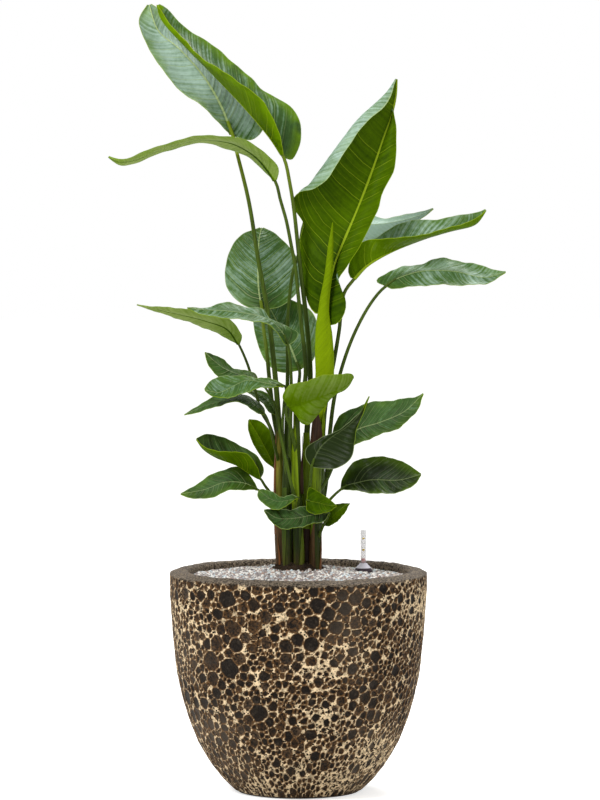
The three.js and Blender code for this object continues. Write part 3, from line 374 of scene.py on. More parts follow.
        right=[[54, -12, 445], [74, -14, 462]],
        bow=[2, 2], wave=[0.6, 3], radii=[2.8, 2],
    ),
    "leaf_27": dict(
        stalk=[[-31, 2, 520], [-37, 12, 580]],
        rib=[[-36, 14, 628], [-47, 17, 647], [-63, 22, 660], [-92, 28, 670]],
        left=[[-47, 10, 632], [-60, 12, 648], [-77, 18, 660]],
        right=[[-37, 20, 643], [-48, 24, 661], [-70, 30, 669]],
        bow=[2, 2], wave=[0.6, 3], radii=[2.8, 2],
    ),
}

# The rolled young leaf: its middle line and how wide it is along it.
SPEAR = [[33, -24, 620.4], [36, -26, 650], [43, -28, 695], [43, -28, 721], [42, -28, 753],
         [41, -28, 792], [43, -28, 821], [50, -28, 868], [53, -28, 905], [57, -28, 951]]
SPEAR_WIDTH = [7, 13, 15.5, 16, 14, 9, 7, 6, 4.5, 0.8]

# How each leaf looks: how pale its upper and its under face are, how strongly its
# lines show (below none, the rib lies in a dark painted fold shadow), how much light
# comes through at its ends, and its side veins' distance.
Look = namedtuple("Look", "upper under lines through gap")
# The paleness of each leaf was fitted to how bright it looks where it stands, so beside its own
# colour it holds painted light and shade; leaf_07's upper paleness over 1 is painted light.
LEAF_LOOKS = {
    "leaf_01": (0.86, 0.5, 0.9, 0.7, 10),
    "leaf_02": (0.5, 0.42, 0.7, 1.0, 13),
    "leaf_03": (0.7, 0.86, -0.5, 0.6, 8),
    "leaf_04": (0.82, 0.22, 0.7, 0.3, 14),
    "leaf_06": (0.6, 0.5, 0.6, 0.3, 12),
    "leaf_07": (1.2, 0.5, 0.4, 0.2, 8),
    "leaf_08": (0.6, 0.5, 0.4, 0.3, 9),
    "leaf_09": (0.56, 0.5, 0.7, 0.3, 7),
    "leaf_10": (0.5, 0.5, 0.5, 0.6, 10),
    "leaf_11": (0.6, 0.5, 0.4, 0.2, 9),
    "leaf_12": (0.7, 0.80, -0.5, 0.2, 10),
    "leaf_13": (0.3, 0.5, 0.5, 0.2, 8),
    "leaf_14": (0.5, 0.5, 0.4, 0.3, 9),
    "leaf_15": (0.34, 0.4, 0.3, 0.2, 9),
    "leaf_16": (0.7, 0.62, 0.06, 0.2, 8),
    "leaf_17": (0.32, 0.6, 0.4, 0.3, 8),
    "leaf_18": (-0.16, 0.4, 0.12, 0.0, 10),
    "leaf_19": (-0.04, 0.5, 0.3, 0.3, 10),
    "leaf_20": (0.14, 0.34, 0.4, 0.2, 10),
    "leaf_21": (0.26, 0.44, 0.4, 0.4, 9),
    "leaf_22": (0.5, 0.4, 0.3, 0.8, 9),
    "leaf_24": (0.18, 0.7, 0.3, 0.0, 7),
    "leaf_25": (0.12, 0.36, 0.2, 0.2, 9),
}
PLAIN_LOOK = (0.4, 0.4, 0.3, 0.3, 8)
# Leaves that light comes through: both faces are a clear olive green.
OLIVE_LEAVES = ("leaf_22", "leaf_25", "leaf_26")


# ---- sizes and colours that a user would change -----------------------------
def colour(name, description, value):
    """A colour setting from its red, green and blue on screen, 0 to 255."""
    # The usual curve from screen values to light, straight near black.
    linear = [((c / 255 + 0.055) / 1.055) ** 2.4 if c > 10 else c / 255 / 12.92 for c in value]
    return FloatVectorProperty(
        name=name, description=description, subtype="COLOR", size=3, min=0, max=1,
        default=linear)


def length(name, description, value):
    """A length setting, given in millimetres."""
    return FloatProperty(
        name=name, description=description, default=value * MM, min=0, unit="LENGTH",
        precision=4)


class PotSettings(bpy.types.PropertyGroup):
    """Sizes and colours of the glazed pot."""
    crater_depth: length("Crater depth", "How deep a wide crater sinks", 2.4)
    crater_wide: length("Wide craters", "Radius of the widest craters", 18)
    crater_small: length("Small craters", "Radius of the smallest modelled craters", 3.0)
    net_width: length("Net width", "Width of the raised net between craters", 2.0)
    seed: IntProperty(name="Seed", description="Places the craters", default=7, min=0)
    bowl: colour("Crater colour", "Dark glaze in the craters", (33, 23, 13))
    warm: colour("Warm glaze", "Brown glaze at the crater edges", (132, 94, 54))
    net: colour("Net colour", "Cream glaze on the raised net", (224, 199, 160))
    rim: colour("Rim colour", "Grey-brown glaze of the rim", (118, 105, 90))


class FillSettings(bpy.types.PropertyGroup):
    """Sizes and colours of the gravel and the soil."""
    grain: length("Grain", "Mean width of a gravel grain", 4.9)
    grains: IntProperty(name="Grains", description="Number of gravel grains", default=7800, min=1)
    crumbs: IntProperty(name="Crumbs", description="Number of soil crumbs", default=620, min=1)
    seed: IntProperty(name="Seed", description="Places the grains", default=11, min=0)
    pale: colour("Pale stone", "Lightest grains", (244, 240, 232))
    grey: colour("Grey stone", "Grey grains", (152, 144, 142))
    cool: colour("Cool stone", "Bluish white grains", (206, 222, 228))
    tan: colour("Tan stone", "Warm grains", (178, 150, 134))
    soil: colour("Soil", "Damp planting soil", (44, 31, 16))


class PlantSettings(bpy.types.PropertyGroup):
    """Sizes and colours of the shoots and leaves."""
    vein_width: length("Vein width", "Width of a main side vein", 0.9)
    edge_width: length("Edge width", "Width of the pale leaf margin", 1.3)
    deep: colour("Deep green", "Darkest green of an upper face", (26, 40, 4))
    upper: colour("Upper face", "Waxy upper face of a grown leaf", (66, 99, 47))
    # The pale upper-face colour is the wax's own blue-grey and also painted sheen of the lights
    # glancing off it.
    wax_and_sheen: colour("Wax and sheen", "Blue-grey wax on the upper face", (168, 194, 178))
    shaded: colour("Shaded under face", "Darkest green of an under face", (34, 58, 0))
    under: colour("Under face", "Under face of a grown leaf", (84, 114, 0))
    matt: colour("Matt under face", "Paler areas of the under face", (150, 168, 96))
    glow: colour("Glow", "Where light shines through a leaf", (104, 140, 0))
    rib: colour("Midrib", "Yellow-green midrib and margin of an under face", (156, 178, 36))
    pale_rib: colour("Pale midrib", "Midrib and margin of an upper face", (172, 190, 128))
    young: colour("Young leaf", "Rolled young leaf", (122, 148, 6))
    stalk: colour("Stalk", "Leaf stalk", (74, 96, 18))
    sheath: colour("Sheath", "Green sheath", (70, 92, 16))
    tan: colour("Olive sheath", "Sheath that turns brown", (142, 130, 46))
    husk: colour("Dry sheath", "Dry brown sheath at the foot", (84, 62, 36))
    rust: colour("Rusty sheath", "Orange-brown edge of a dry sheath", (146, 90, 46))
    plum: colour("Plum sheath", "Purple-brown sheath", (68, 44, 28))


class GaugeSettings(bpy.types.PropertyGroup):
    """Colours of the water gauge."""
    clear: colour("Clear plastic", "Tube of the gauge", (226, 224, 226))
    bell: colour("Bell", "Lilac-grey bell at the foot of the tube", (238, 234, 246))
    dark: colour("Dark plastic", "Foot of the bell", (52, 38, 48))
    tick: colour("Ticks", "Level marks on the tube", (214, 180, 40))
    float_red: colour("Float", "Float in the tube", (214, 30, 12))


class StudioSettings(bpy.types.PropertyGroup):
    """Camera, floor and lights."""
    distance: FloatProperty(
        name="Distance", description="Camera distance from the pot's axis", default=7.0,
        unit="LENGTH", subtype="DISTANCE")
    height: FloatProperty(
        name="Height", description="Camera height over the floor", default=1.064,
        unit="LENGTH", subtype="DISTANCE")
    pitch: FloatProperty(
        name="Pitch", description="How far the camera looks down", default=math.radians(3.348),
        subtype="ANGLE")
    lens: FloatProperty(
        name="Lens", description="Focal length in millimetres", default=189.2, min=1)
    floor: colour("Floor", "Plain pale floor", (244, 244, 242))
    fill: FloatProperty(
        name="Fill", description="Strength of the even light all round", default=0.5, min=0)
    key: FloatProperty(
        name="Key light", description="Power of the large soft light", default=150, min=0,
        unit="POWER")


SETTINGS = {
    "bop_pot": PotSettings, "bop_fill": FillSettings, "bop_plant": PlantSettings,
    "bop_gauge": GaugeSettings, "bop_studio": StudioSettings,
}


# ---- curves -----------------------------------------------------------------
def curve_point(before, start, end, after, share):
    """A point between start and end on the smooth curve through all four."""
    gaps = [max(float(np.sum((b - a) ** 2)) ** 0.25, 1e-4)
            for a, b in ((before, start), (start, end), (end, after))]
    t1 = ((start - before) / gaps[0] - (end - before) / (gaps[0] + gaps[1])
          + (end - start) / gaps[1]) * gaps[1]
    t2 = ((end - start) / gaps[1] - (after - start) / (gaps[1] + gaps[2])
          + (after - end) / gaps[2]) * gaps[1]
    square = share * share
    cube = square * share
    return (start + t1 * share + (-3 * start + 3 * end - 2 * t1 - t2) * square
            + (2 * start - 2 * end + t1 + t2) * cube)


def distances(points):
    """How far along a run of points each of them lies."""
    return np.concatenate([[0], np.cumsum(np.linalg.norm(np.diff(points, axis=0), axis=1))])


def steps(points, count, first=0, last=1):
    """Points at even steps along a smooth curve, from one share to another."""
    samples = 300
    knots = np.array(points, float)
    ends = np.vstack([2 * knots[0] - knots[1], knots, 2 * knots[-1] - knots[-2]])
    spans = len(knots) - 1
    fine = []
    for k in range(samples + 1):
        place = min(k / samples * spans, spans - 1e-9)
        i = int(place)
        fine.append(curve_point(*ends[i:i + 4], place - i))
    fine = np.array(fine)
    run = distances(fine)
    wanted = run[-1] * np.linspace(first, last, count + 1)
    return np.stack([np.interp(wanted, run, fine[:, k]) for k in range(3)], axis=1)


def unit(rows):
    """Rows scaled to length one."""
    size = np.linalg.norm(rows, axis=-1, keepdims=True)
    return rows / np.maximum(size, 1e-9)


def headings(points):
    """The direction of a run of points at each of them."""
    return unit(np.vstack([points[1] - points[0], points[2:] - points[:-2],
                           points[-1] - points[-2]]))


def smooth_step(low, high, value):
    """0 below low, 1 above high and smooth between."""
    t = np.clip((value - low) / (high - low), 0, 1)
    return t * t * (3 - 2 * t)


def crumple(spot, dimension):
    """The height of an uneven natural surface at a spot, about -1 to 1."""
    lacunarity, octaves = 2.1, 4
    return noise.fractal(spot, dimension, lacunarity, octaves)


# ---- mesh making ------------------------------------------------------------
def clear_hands():
    """Leaves object mode with nothing selected."""
    if bpy.context.object and bpy.context.object.mode != "OBJECT":
        bpy.ops.object.mode_set(mode="OBJECT")
    bpy.ops.object.select_all(action="DESELECT")


def take(piece):
    """Makes one piece the only selected and active one."""
    clear_hands()
    piece.select_set(True)
    bpy.context.view_layer.objects.active = piece


def corners(piece):
    """The piece's vertices as an array."""
    flat = np.empty(len(piece.data.vertices) * 3)
    piece.data.vertices.foreach_get("co", flat)
    return flat.reshape(-1, 3)


def place_corners(piece, places):
    """Moves the piece's vertices to an array of places."""
    piece.data.vertices.foreach_set("co", np.asarray(places, float).ravel())
    piece.data.update()


def flat_grid(name, across, along):
    """A flat grid, with the column and row of each of its vertices."""
    clear_hands()
    bpy.ops.mesh.primitive_grid_add(x_subdivisions=across, y_subdivisions=along, size=2)
    piece = bpy.context.object
    piece.name = name
    flat = corners(piece)
    column = np.rint((flat[:, 0] + 1) / 2 * across).astype(int)
    row = np.rint((flat[:, 1] + 1) / 2 * along).astype(int)
    return piece, column, row


def map_corners(piece, name, values):
    """Writes a UV map from a pair of numbers at each vertex."""
    layer = piece.data.uv_layers.new(name=name)
    index = np.empty(len(piece.data.loops), int)
    piece.data.loops.foreach_get("vertex_index", index)
    layer.data.foreach_set("uv", np.asarray(values, float)[index].ravel())


def mark(piece, name, values):
    """Writes a number at each vertex as a named attribute."""
    layer = piece.data.attributes.new(name, "FLOAT", "POINT")
    layer.data.foreach_set("value", np.asarray(values, np.float32).ravel())


def run_modifier(piece, kind, **values):
    """Adds a modifier with its values and applies it."""
    take(piece)
    modifier = piece.modifiers.new(kind.title(), kind)
    for key, value in values.items():
        setattr(modifier, key, value)
    bpy.ops.object.modifier_apply(modifier=modifier.name)


def smooth(piece, degrees):
    """Shades the piece smooth where it bends less than an angle."""
    take(piece)
    bpy.ops.object.shade_smooth_by_angle(angle=math.radians(degrees))


def face_outwards(piece):
    """Turns the faces of a closed piece outwards."""
    take(piece)
    bpy.ops.object.mode_set(mode="EDIT")
    bpy.ops.mesh.select_all(action="SELECT")
    bpy.ops.mesh.normals_make_consistent(inside=False)
    bpy.ops.object.mode_set(mode="OBJECT")


def close_seam(piece, distance=1e-6):
    """Welds a wrapped grid along its seam and turns its faces outwards."""
    take(piece)
    bpy.ops.object.mode_set(mode="EDIT")
    bpy.ops.mesh.select_all(action="SELECT")
    bpy.ops.mesh.remove_doubles(threshold=distance)
    bpy.ops.object.mode_set(mode="OBJECT")
    face_outwards(piece)


def cap_ends(piece):
    """Closes the open ends of a tube with a face each."""
    take(piece)
    bpy.ops.object.mode_set(mode="EDIT")
    bpy.ops.mesh.select_mode(type="EDGE")
    bpy.ops.mesh.select_all(action="DESELECT")
    bpy.ops.mesh.select_non_manifold()
    bpy.ops.mesh.edge_face_add()
    bpy.ops.mesh.select_mode(type="VERT")
    bpy.ops.object.mode_set(mode="OBJECT")


def tube(name, centres, size, around, ridge, squeeze=np.ones_like):
    """A closed tube along a run of centres, in millimetres. size and squeeze give
    its radius and flatness at a share of it, and ridge its relief there and round it."""
    along = len(centres) - 1
    piece, column, row = flat_grid(name, around, along)
    heading = headings(centres)
    side = unit(np.cross(heading, ASIDE))
    front = unit(np.cross(side, heading))
    share = row / along
    turn = 2 * math.pi * column / around
    radius = size(share) + ridge(share, turn)
    places = (centres[row] + side[row] * (np.cos(turn) * radius)[:, None]
              - front[row] * (np.sin(turn) * radius * squeeze(share))[:, None])
    place_corners(piece, places * MM)
    # Its maps keep it clear of a blade's midrib and margin.
    away = 0.5 + np.abs(turn - math.pi) * radius * DM
    map_corners(piece, "blade", np.stack([away, distances(centres)[row] * DM], axis=1))
    map_corners(piece, "span", np.stack([np.full_like(share, 0.5), share], axis=1))
    close_seam(piece)
    cap_ends(piece)
    face_outwards(piece)
    smooth(piece, 60)
    return piece


def lathe(name, outline, around, middle=(0, 0)):
    """A turned piece from radius and height pairs, in millimetres."""
    along = len(outline) - 1
    piece, column, row = flat_grid(name, around, along)
    pair = np.array(outline, float)[row]
    turn = 2 * math.pi * column / around
    places = np.stack([middle[0] + pair[:, 0] * np.cos(turn),
                       middle[1] + pair[:, 0] * np.sin(turn), pair[:, 1]], axis=1)
    place_corners(piece, places * MM)
    close_seam(piece)
    smooth(piece, 40)
    return piece


def fuse(name, pieces):
    """Joins pieces into the first of them."""
    clear_hands()
    for piece in pieces:
        piece.select_set(True)
    bpy.context.view_layer.objects.active = pieces[0]
    bpy.ops.object.join()
    whole = bpy.context.object
    whole.name = name
    whole.data.name = name
    return whole


def settle(piece, nodes=()):
    """Puts a finished piece on the plant's body, in the place of CAD nodes."""
    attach(piece, BODY)
    if nodes:
        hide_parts(*nodes)
    return piece


# ---- finishes: node helpers -------------------------------------------------
class Wires:
    """Short calls for putting and joining nodes in one tree."""

    def __init__(self, tree):
        self.tree = tree

    def put(self, kind, **settings):
        """A node of a kind with its settings."""
        node = self.tree.nodes.new(kind)
        for key, value in settings.items():
            setattr(node, key, value)
        return node

    def feed(self, socket, value):
        """Gives a socket a plain value or another socket."""
        if isinstance(value, bpy.types.NodeSocket):
            self.tree.links.new(value, socket)
        else:
            socket.default_value = value

    def maths(self, operation, *values, clamp=False):
        """A math node; returns its output."""
        node = self.put("ShaderNodeMath", operation=operation, use_clamp=clamp)
        for socket, value in zip(node.inputs, values):
            self.feed(socket, value)
        return node.outputs[0]

    def plus(self, first, second):
        """The first value and the second together."""
        return self.maths("ADD", first, second)

    def minus(self, first, second):
        """The first value less the second."""
        return self.maths("SUBTRACT", first, second)

    def times(self, first, second, clamp=False):
        """The first value as many times as the second says."""
        return self.maths("MULTIPLY", first, second, clamp=clamp)

    def times_plus(self, first, second, third, clamp=False):
        """The first value times the second, and the third on top."""
        return self.maths("MULTIPLY_ADD", first, second, third, clamp=clamp)

    def most(self, first, second):
        """The larger of two values."""
        return self.maths("MAXIMUM", first, second)

    def least(self, first, second):
        """The smaller of two values."""
        return self.maths("MINIMUM", first, second)

    def parts(self, vector):
        """The three parts of a vector."""
        node = self.put("ShaderNodeSeparateXYZ")
        self.feed(node.inputs[0], vector)
        return node.outputs

    def blend(self, factor, first, second):
        """A colour mix; returns its colour."""
        node = self.put("ShaderNodeMix", data_type="RGBA")
        self.feed(node.inputs[0], factor)
        self.feed(node.inputs[6], first)
        self.feed(node.inputs[7], second)
        return node.outputs[2]

    def ease(self, value, low, high):
        """A smooth step of a value, from 0 at low to 1 at high."""
        node = self.put("ShaderNodeMapRange", interpolation_type="SMOOTHSTEP")
        for socket, number in zip(node.inputs, (value, low, high)):
            self.feed(socket, number)
        return node.outputs[0]

    def cloud(self, place, scale, detail=3.0, rough=0.55):
        """A noise texture, so many swells to the unit; returns its value."""
        node = self.put("ShaderNodeTexNoise")
        self.feed(node.inputs["Vector"], place)
        self.feed(node.inputs["Scale"], scale)
        self.feed(node.inputs["Detail"], detail)
        self.feed(node.inputs["Roughness"], rough)
        return node.outputs[0]

    def cells(self, place, scale):
        """A cell texture, so many to the unit; returns the distance from their middles."""
        node = self.put("ShaderNodeTexVoronoi")
        self.feed(node.inputs["Vector"], place)
        self.feed(node.inputs["Scale"], scale)
        return node.outputs["Distance"]

    def stretch(self, place, scale):
        """A place scaled by three numbers."""
        node = self.put("ShaderNodeMapping", vector_type="POINT")
        self.feed(node.inputs["Vector"], place)
        self.feed(node.inputs["Scale"], scale)
        return node.outputs[0]

    def number(self, name):
        """A named vertex attribute's value."""
        return self.put("ShaderNodeAttribute", attribute_name=name).outputs["Fac"]

    def place(self):
        """Object coordinates."""
        return self.put("ShaderNodeTexCoord").outputs["Object"]

    def uv(self, name):
        """The piece's own UV map."""
        return self.put("ShaderNodeUVMap", uv_map=name).outputs[0]

    def bump(self, height, strength, distance):
        """A bump node; returns its normal."""
        node = self.put("ShaderNodeBump")
        self.feed(node.inputs["Strength"], strength)
        self.feed(node.inputs["Distance"], distance)
        self.feed(node.inputs["Height"], height)
        return node.outputs[0]


def shade(rgb, gain=1.0):
    """A setting's colour with its alpha, lighter or darker by a gain."""
    return (*[min(1.0, c * gain) for c in rgb[:3]], 1.0)


def finish(name, **plain):
    """A new material with its wires and its shader, plain values set."""
    material = bpy.data.materials.get(name) or bpy.data.materials.new(name)
    material.use_nodes = True
    wires = Wires(material.node_tree)
    material.node_tree.nodes.clear()
    shader = wires.put("ShaderNodeBsdfPrincipled")
    wires.feed(wires.put("ShaderNodeOutputMaterial").inputs["Surface"], shader.outputs[0])
    for key, value in plain.items():
        shader.inputs[key.replace("_", " ")].default_value = value
    return material, wires, shader


def effect(name, inputs, outputs, build):
    """A shader node group, built once. build(wires, inputs) returns its outputs."""
    tree = bpy.data.node_groups.get(name)
    if tree:
        return tree
    tree = bpy.data.node_groups.new(name, "ShaderNodeTree")
    for label, kind, value in inputs:
        socket = tree.interface.new_socket(name=label, in_out="INPUT", socket_type=kind)
        if value is not None:
            socket.default_value = value
    for label, kind in outputs:
        tree.interface.new_socket(name=label, in_out="OUTPUT", socket_type=kind)
    wires = Wires(tree)
    entry = wires.put("NodeGroupInput")
    leave = wires.put("NodeGroupOutput")
    made = build(wires, {socket.name: socket for socket in entry.outputs})
    for label, _ in outputs:
        wires.feed(leave.inputs[label], made[label])
    return tree


def use(wires, tree, **values):
    """Places an effect in a material with its own values; returns the node."""
    node = wires.put("ShaderNodeGroup", node_tree=tree)
    for key, value in values.items():
        wires.feed(node.inputs[key.replace("_", " ")], value)
    return node


def coat(wires, shader, base, rough, height, strength, distance):
    """Gives a shader its colour, its roughness and its relief, so many metres deep."""
    wires.feed(shader.inputs["Base Color"], base)
    wires.feed(shader.inputs["Roughness"], rough)
    wires.feed(shader.inputs["Normal"], wires.bump(height, strength, distance))


FLOAT, VECTOR = "NodeSocketFloat", "NodeSocketVector"


def veining():
    """Midrib, side veins and margin of a blade, from its own maps in decimetres.

    Blade holds the way out from the rib and along it, Span the way in from the
    margin and the share from neck to tip. Step is the distance of the side veins,
    and Line, Rib and Edge are the widths of a vein, the rib and the margin.
    """
    def build(wires, given):
        out, along = wires.parts(given["Blade"])[:2]
        inwards, share = wires.parts(given["Span"])[:2]
        away = wires.maths("ABSOLUTE", out)
        # The side veins leave the rib aslant and curve on towards the tip.
        slant = wires.times_plus(wires.times(away, away), 0.26, wires.times(away, 0.68))
        slant = wires.times(slant, wires.times_plus(share, 1.1, 0.4))
        drift = wires.cloud(given["Place"], 34.0, 2.0)
        course = wires.times_plus(drift, 0.05, wires.minus(along, slant))
        order = wires.maths("DIVIDE", course, given["Step"])
        chance = wires.put("ShaderNodeTexWhiteNoise", noise_dimensions="1D")
        wires.feed(chance.inputs["W"], wires.maths("FLOOR", order))
        aside = wires.maths("ABSOLUTE", wires.minus(wires.maths("FRACT", order), 0.5))
        line = wires.ease(wires.times(aside, given["Step"]), given["Line"], 0.0)
        strong = wires.ease(chance.outputs[0], 0.15, 0.95)
        vein = wires.times(wires.times(line, strong), wires.ease(inwards, 0.0, 0.12))
        # Streaks run along the side veins, and the blade folds between them; the folds also give
        # painted shade to the colour.
        run = wires.put("ShaderNodeCombineXYZ")
        wires.feed(run.inputs[0], course)
        wires.feed(run.inputs[1], wires.times(out, 0.045))
        streak = wires.cloud(run.outputs[0], 13.0, 3.0, 0.65)
        fold = wires.maths("PINGPONG", order, 0.5)
        ripples = wires.maths("SINE", wires.times(order, 2 * math.pi * 5.0))
        swell = wires.times_plus(ripples, 0.05, wires.times(streak, 0.9))
        swell = wires.times_plus(fold, 1.1, swell)
        swell = wires.times(swell, wires.ease(inwards, 0.0, 0.16))
        # The rib narrows towards the tip, with a shadow at either side.
        tip = wires.minus(1.0, share)
        wide = wires.times(given["Rib"], wires.times_plus(tip, 0.75, 0.25))
        rib = wires.ease(away, wide, wires.times(wide, 0.7))
        shadow = wires.ease(away, wires.times(wide, 2.6), wide)
        edge = wires.ease(inwards, given["Edge"], wires.times(given["Edge"], 0.4))
        # Light comes through in patches at the tip and the margins.
        thin = wires.times(wires.ease(inwards, 0.26, 0.0), 0.8)
        ends = wires.most(wires.ease(share, 0.80, 0.97), thin)
        ends = wires.times(ends, wires.ease(drift, 0.30, 0.62))
        return {"Vein": vein, "Rib": rib, "Edge": edge, "Height": swell,
                "Streak": wires.ease(streak, 0.30, 0.70), "Shadow": shadow,
                "Fold shade": wires.times(fold, 2.0), "End": ends,
                "Root": wires.ease(share, 0.36, 0.0)}
    return effect(
        "leaf veining",
        [("Blade", VECTOR, None), ("Span", VECTOR, None), ("Place", VECTOR, None),
         ("Step", FLOAT, 0.08), ("Line", FLOAT, 0.009), ("Rib", FLOAT, 0.03),
         ("Edge", FLOAT, 0.01)],
        [("Vein", FLOAT), ("Rib", FLOAT), ("Edge", FLOAT), ("Height", FLOAT),
         ("Streak", FLOAT), ("Shadow", FLOAT), ("Fold shade", FLOAT), ("End", FLOAT),
         ("Root", FLOAT)], build)


def mottling():
    """Broad and fine unevenness of a natural colour."""
    def build(wires, given):
        broad = wires.cloud(given["Place"], given["Broad"], 3.0, 0.6)
        fine = wires.cloud(given["Place"], given["Fine"], 4.0, 0.65)
        mixed = wires.plus(wires.times(broad, 0.65), wires.times(fine, 0.35))
        return {"Value": wires.ease(mixed, 0.34, 0.66), "Grain": fine}
    return effect("natural mottling",
                  [("Place", VECTOR, None), ("Broad", FLOAT, 12.0), ("Fine", FLOAT, 160.0)],
                  [("Value", FLOAT), ("Grain", FLOAT)], build)


def fibres():
    """Long fibres that run up a stalk."""
    def build(wires, given):
        drawn = wires.stretch(given["Place"], (1.0, 1.0, 0.05))
        coarse = wires.cloud(drawn, given["Scale"], 3.0, 0.6)
        thin = wires.cloud(drawn, wires.times(given["Scale"], 3.2), 3.0, 0.6)
        both = wires.plus(wires.times(coarse, 0.6), wires.times(thin, 0.4))
        return {"Value": wires.ease(both, 0.36, 0.64), "Height": both}
    return effect("stalk fibres", [("Place", VECTOR, None), ("Scale", FLOAT, 260.0)],
                  [("Value", FLOAT), ("Height", FLOAT)], build)


# ---- finishes: the plant ----------------------------------------------------
BROWNING = (0.46, 0.375)  # heights in metres where a stalk starts to brown and is brown


def blade_finish(name, tones, tint, settings, uneven, relief, gloss, rough):
    """A leaf face that its own tone sets between dark, middle and pale, with its
    lines drawn in a tint. uneven is how much the colour wanders over the face."""
    material, wires, shader = finish(name, IOR=1.45, Specular_IOR_Level=gloss)
    dark, middle, pale = map(shade, tones)
    drawn = wires.number("lines")
    lines = use(wires, veining(), Blade=wires.uv("blade"), Span=wires.uv("span"),
                Place=wires.place(), Step=wires.number("gap"),
                Line=settings.vein_width / MM * DM, Rib=wires.number("rib"),
                Edge=settings.edge_width / MM * DM)
    patch = use(wires, mottling(), Place=wires.place(), Broad=13.0, Fine=150.0)
    # The level runs from dark at 0 by the middle tone at a half to pale at 1. It is darker
    # towards the neck, with painted shade in the folds and beside the rib.
    level = wires.number("tone")
    # Painted shadow over and beside the rib: faint on every leaf, and a dark painted fold shadow
    # where lines is below none.
    painted_rib_shadow = wires.least(wires.times(drawn, 1.4), -0.08)
    for value, share in ((patch.outputs["Value"], uneven), (lines.outputs["Streak"], uneven),
                         (lines.outputs["Fold shade"], -0.5 * uneven),
                         (lines.outputs["Root"], -uneven), (lines.outputs["Shadow"], painted_rib_shadow)):
        level = wires.times_plus(value, share, level)
    level = wires.minus(level, 0.03 + 0.65 * uneven)
    base = wires.blend(wires.times(level, 2.0, clamp=True), dark, middle)
    base = wires.blend(wires.times_plus(level, 2.0, -1.0, clamp=True), base, pale)
    through = wires.times(lines.outputs["End"], wires.number("through"))
    base = wires.blend(through, base, shade(settings.glow))
    for part, share, least in (("Vein", 0.75, 0.0), ("Edge", 0.4, 0.3), ("Rib", 1.0, 0.0)):
        strength = wires.times(lines.outputs[part], wires.times_plus(drawn, share, least))
        base = wires.blend(strength, base, shade(tint))
    dull = wires.times_plus(patch.outputs["Grain"], 0.25, rough - 0.12)
    coat(wires, shader, base, dull, lines.outputs["Height"], relief, 0.0012)
    return material


def stalk_finish(name, light, dark, brown, settings, share):
    """A fibrous stalk that browns by a share near the soil."""
    material, wires, shader = finish(name, IOR=1.45, Specular_IOR_Level=0.2)
    place = wires.place()
    strands = use(wires, fibres(), Place=place, Scale=300.0)
    patch = use(wires, mottling(), Place=place, Broad=22.0, Fine=240.0)
    base = wires.blend(strands.outputs["Value"], shade(dark), shade(light))
    base = wires.blend(wires.times(patch.outputs["Value"], 0.4), base, shade(light, 0.62))
    level = wires.times_plus(patch.outputs["Value"], 0.05, wires.parts(place)[2])
    brownish = wires.times(wires.ease(level, *BROWNING), share)
    base = wires.blend(brownish, base, shade(brown))
    scar = wires.times(wires.ease(patch.outputs["Grain"], 0.60, 0.72), 0.35)
    base = wires.blend(scar, base, shade(brown, 0.55))
    neck = wires.times(wires.number("neck"), 0.85)
    base = wires.blend(neck, base, shade(settings.rib, 0.8))
    dull = wires.times_plus(strands.outputs["Value"], 0.18, 0.38)
    coat(wires, shader, base, dull, strands.outputs["Height"], 0.6, 0.0008)
    return material


def plant_finishes():
    """Every finish of the plant, by the name that the pieces use."""
    s = bpy.context.scene.bop_plant
    faces = {
        # its three tones and the tint of its lines; uneven, relief, gloss, roughness
        # The upper face's pale tone is partly its wax and partly painted sheen.
        "upper": ("leaf upper", (s.deep, s.upper, s.wax_and_sheen), s.pale_rib, (0.28, 0.9, 0.14, 0.40)),
        "under": ("leaf under", (s.shaded, s.under, s.matt), s.rib, (0.15, 0.4, 0.03, 0.5)),
        "spear": ("rolled leaf", (s.shaded, s.young, s.rib), s.rib, (0.07, 0.3, 0.03, 0.5)),
    }
    stalks = {
        # light, dark and brown, each with its gain, and the share that browns
        "stalk": ("leaf stalk", (s.stalk, 1), (s.stalk, 0.45), (s.husk, 1), 0.3),
        "green": ("green sheath", (s.sheath, 1), (s.sheath, 0.4), (s.husk, 1), 0.5),
        "dark": ("dark sheath", (s.sheath, 0.5), (s.deep, 0.6), (s.husk, 1), 0.3),
        "fresh": ("fresh sheath", (s.young, 0.7), (s.sheath, 0.6), (s.husk, 1), 0.5),
        "lime": ("young sheath", (s.young, 1), (s.young, 0.5), (s.husk, 1), 0.0),
        "tan": ("olive sheath", (s.tan, 1), (s.sheath, 0.8), (s.husk, 1), 0.9),
        "husk": ("dry sheath", (s.husk, 1.7), (s.husk, 0.2), (s.husk, 0.4), 0.5),
        "rust": ("rusty sheath", (s.rust, 1), (s.husk, 0.5), (s.husk, 1), 0.3),
        "plum": ("plum sheath", (s.plum, 1), (s.plum, 0.3), (s.plum, 0.5), 0.2),
    }
    made = {}
    for key, (name, tones, tint, nature) in faces.items():
        made[key] = blade_finish(name, tones, tint, s, *nature)
    for key, (name, light, dark, brown, share) in stalks.items():
        made[key] = stalk_finish(name, shade(*light), shade(*dark), shade(*brown), s, share)
    return made


# ---- the plant's pieces -----------------------------------------------------
def widened(plan):
    """A leaf's points with the plant's depth widened about the leaf's foot."""
    foot = plan["stalk"][0][1]
    wide = dict(plan)
    for key in ("stalk", "rib", "left", "right", "crest"):
        if key in plan:
            points = np.array(plan[key], float)
            points[:, 1] = foot + (points[:, 1] - foot) * DEPTH_SPREAD
            wide[key] = points
    return wide


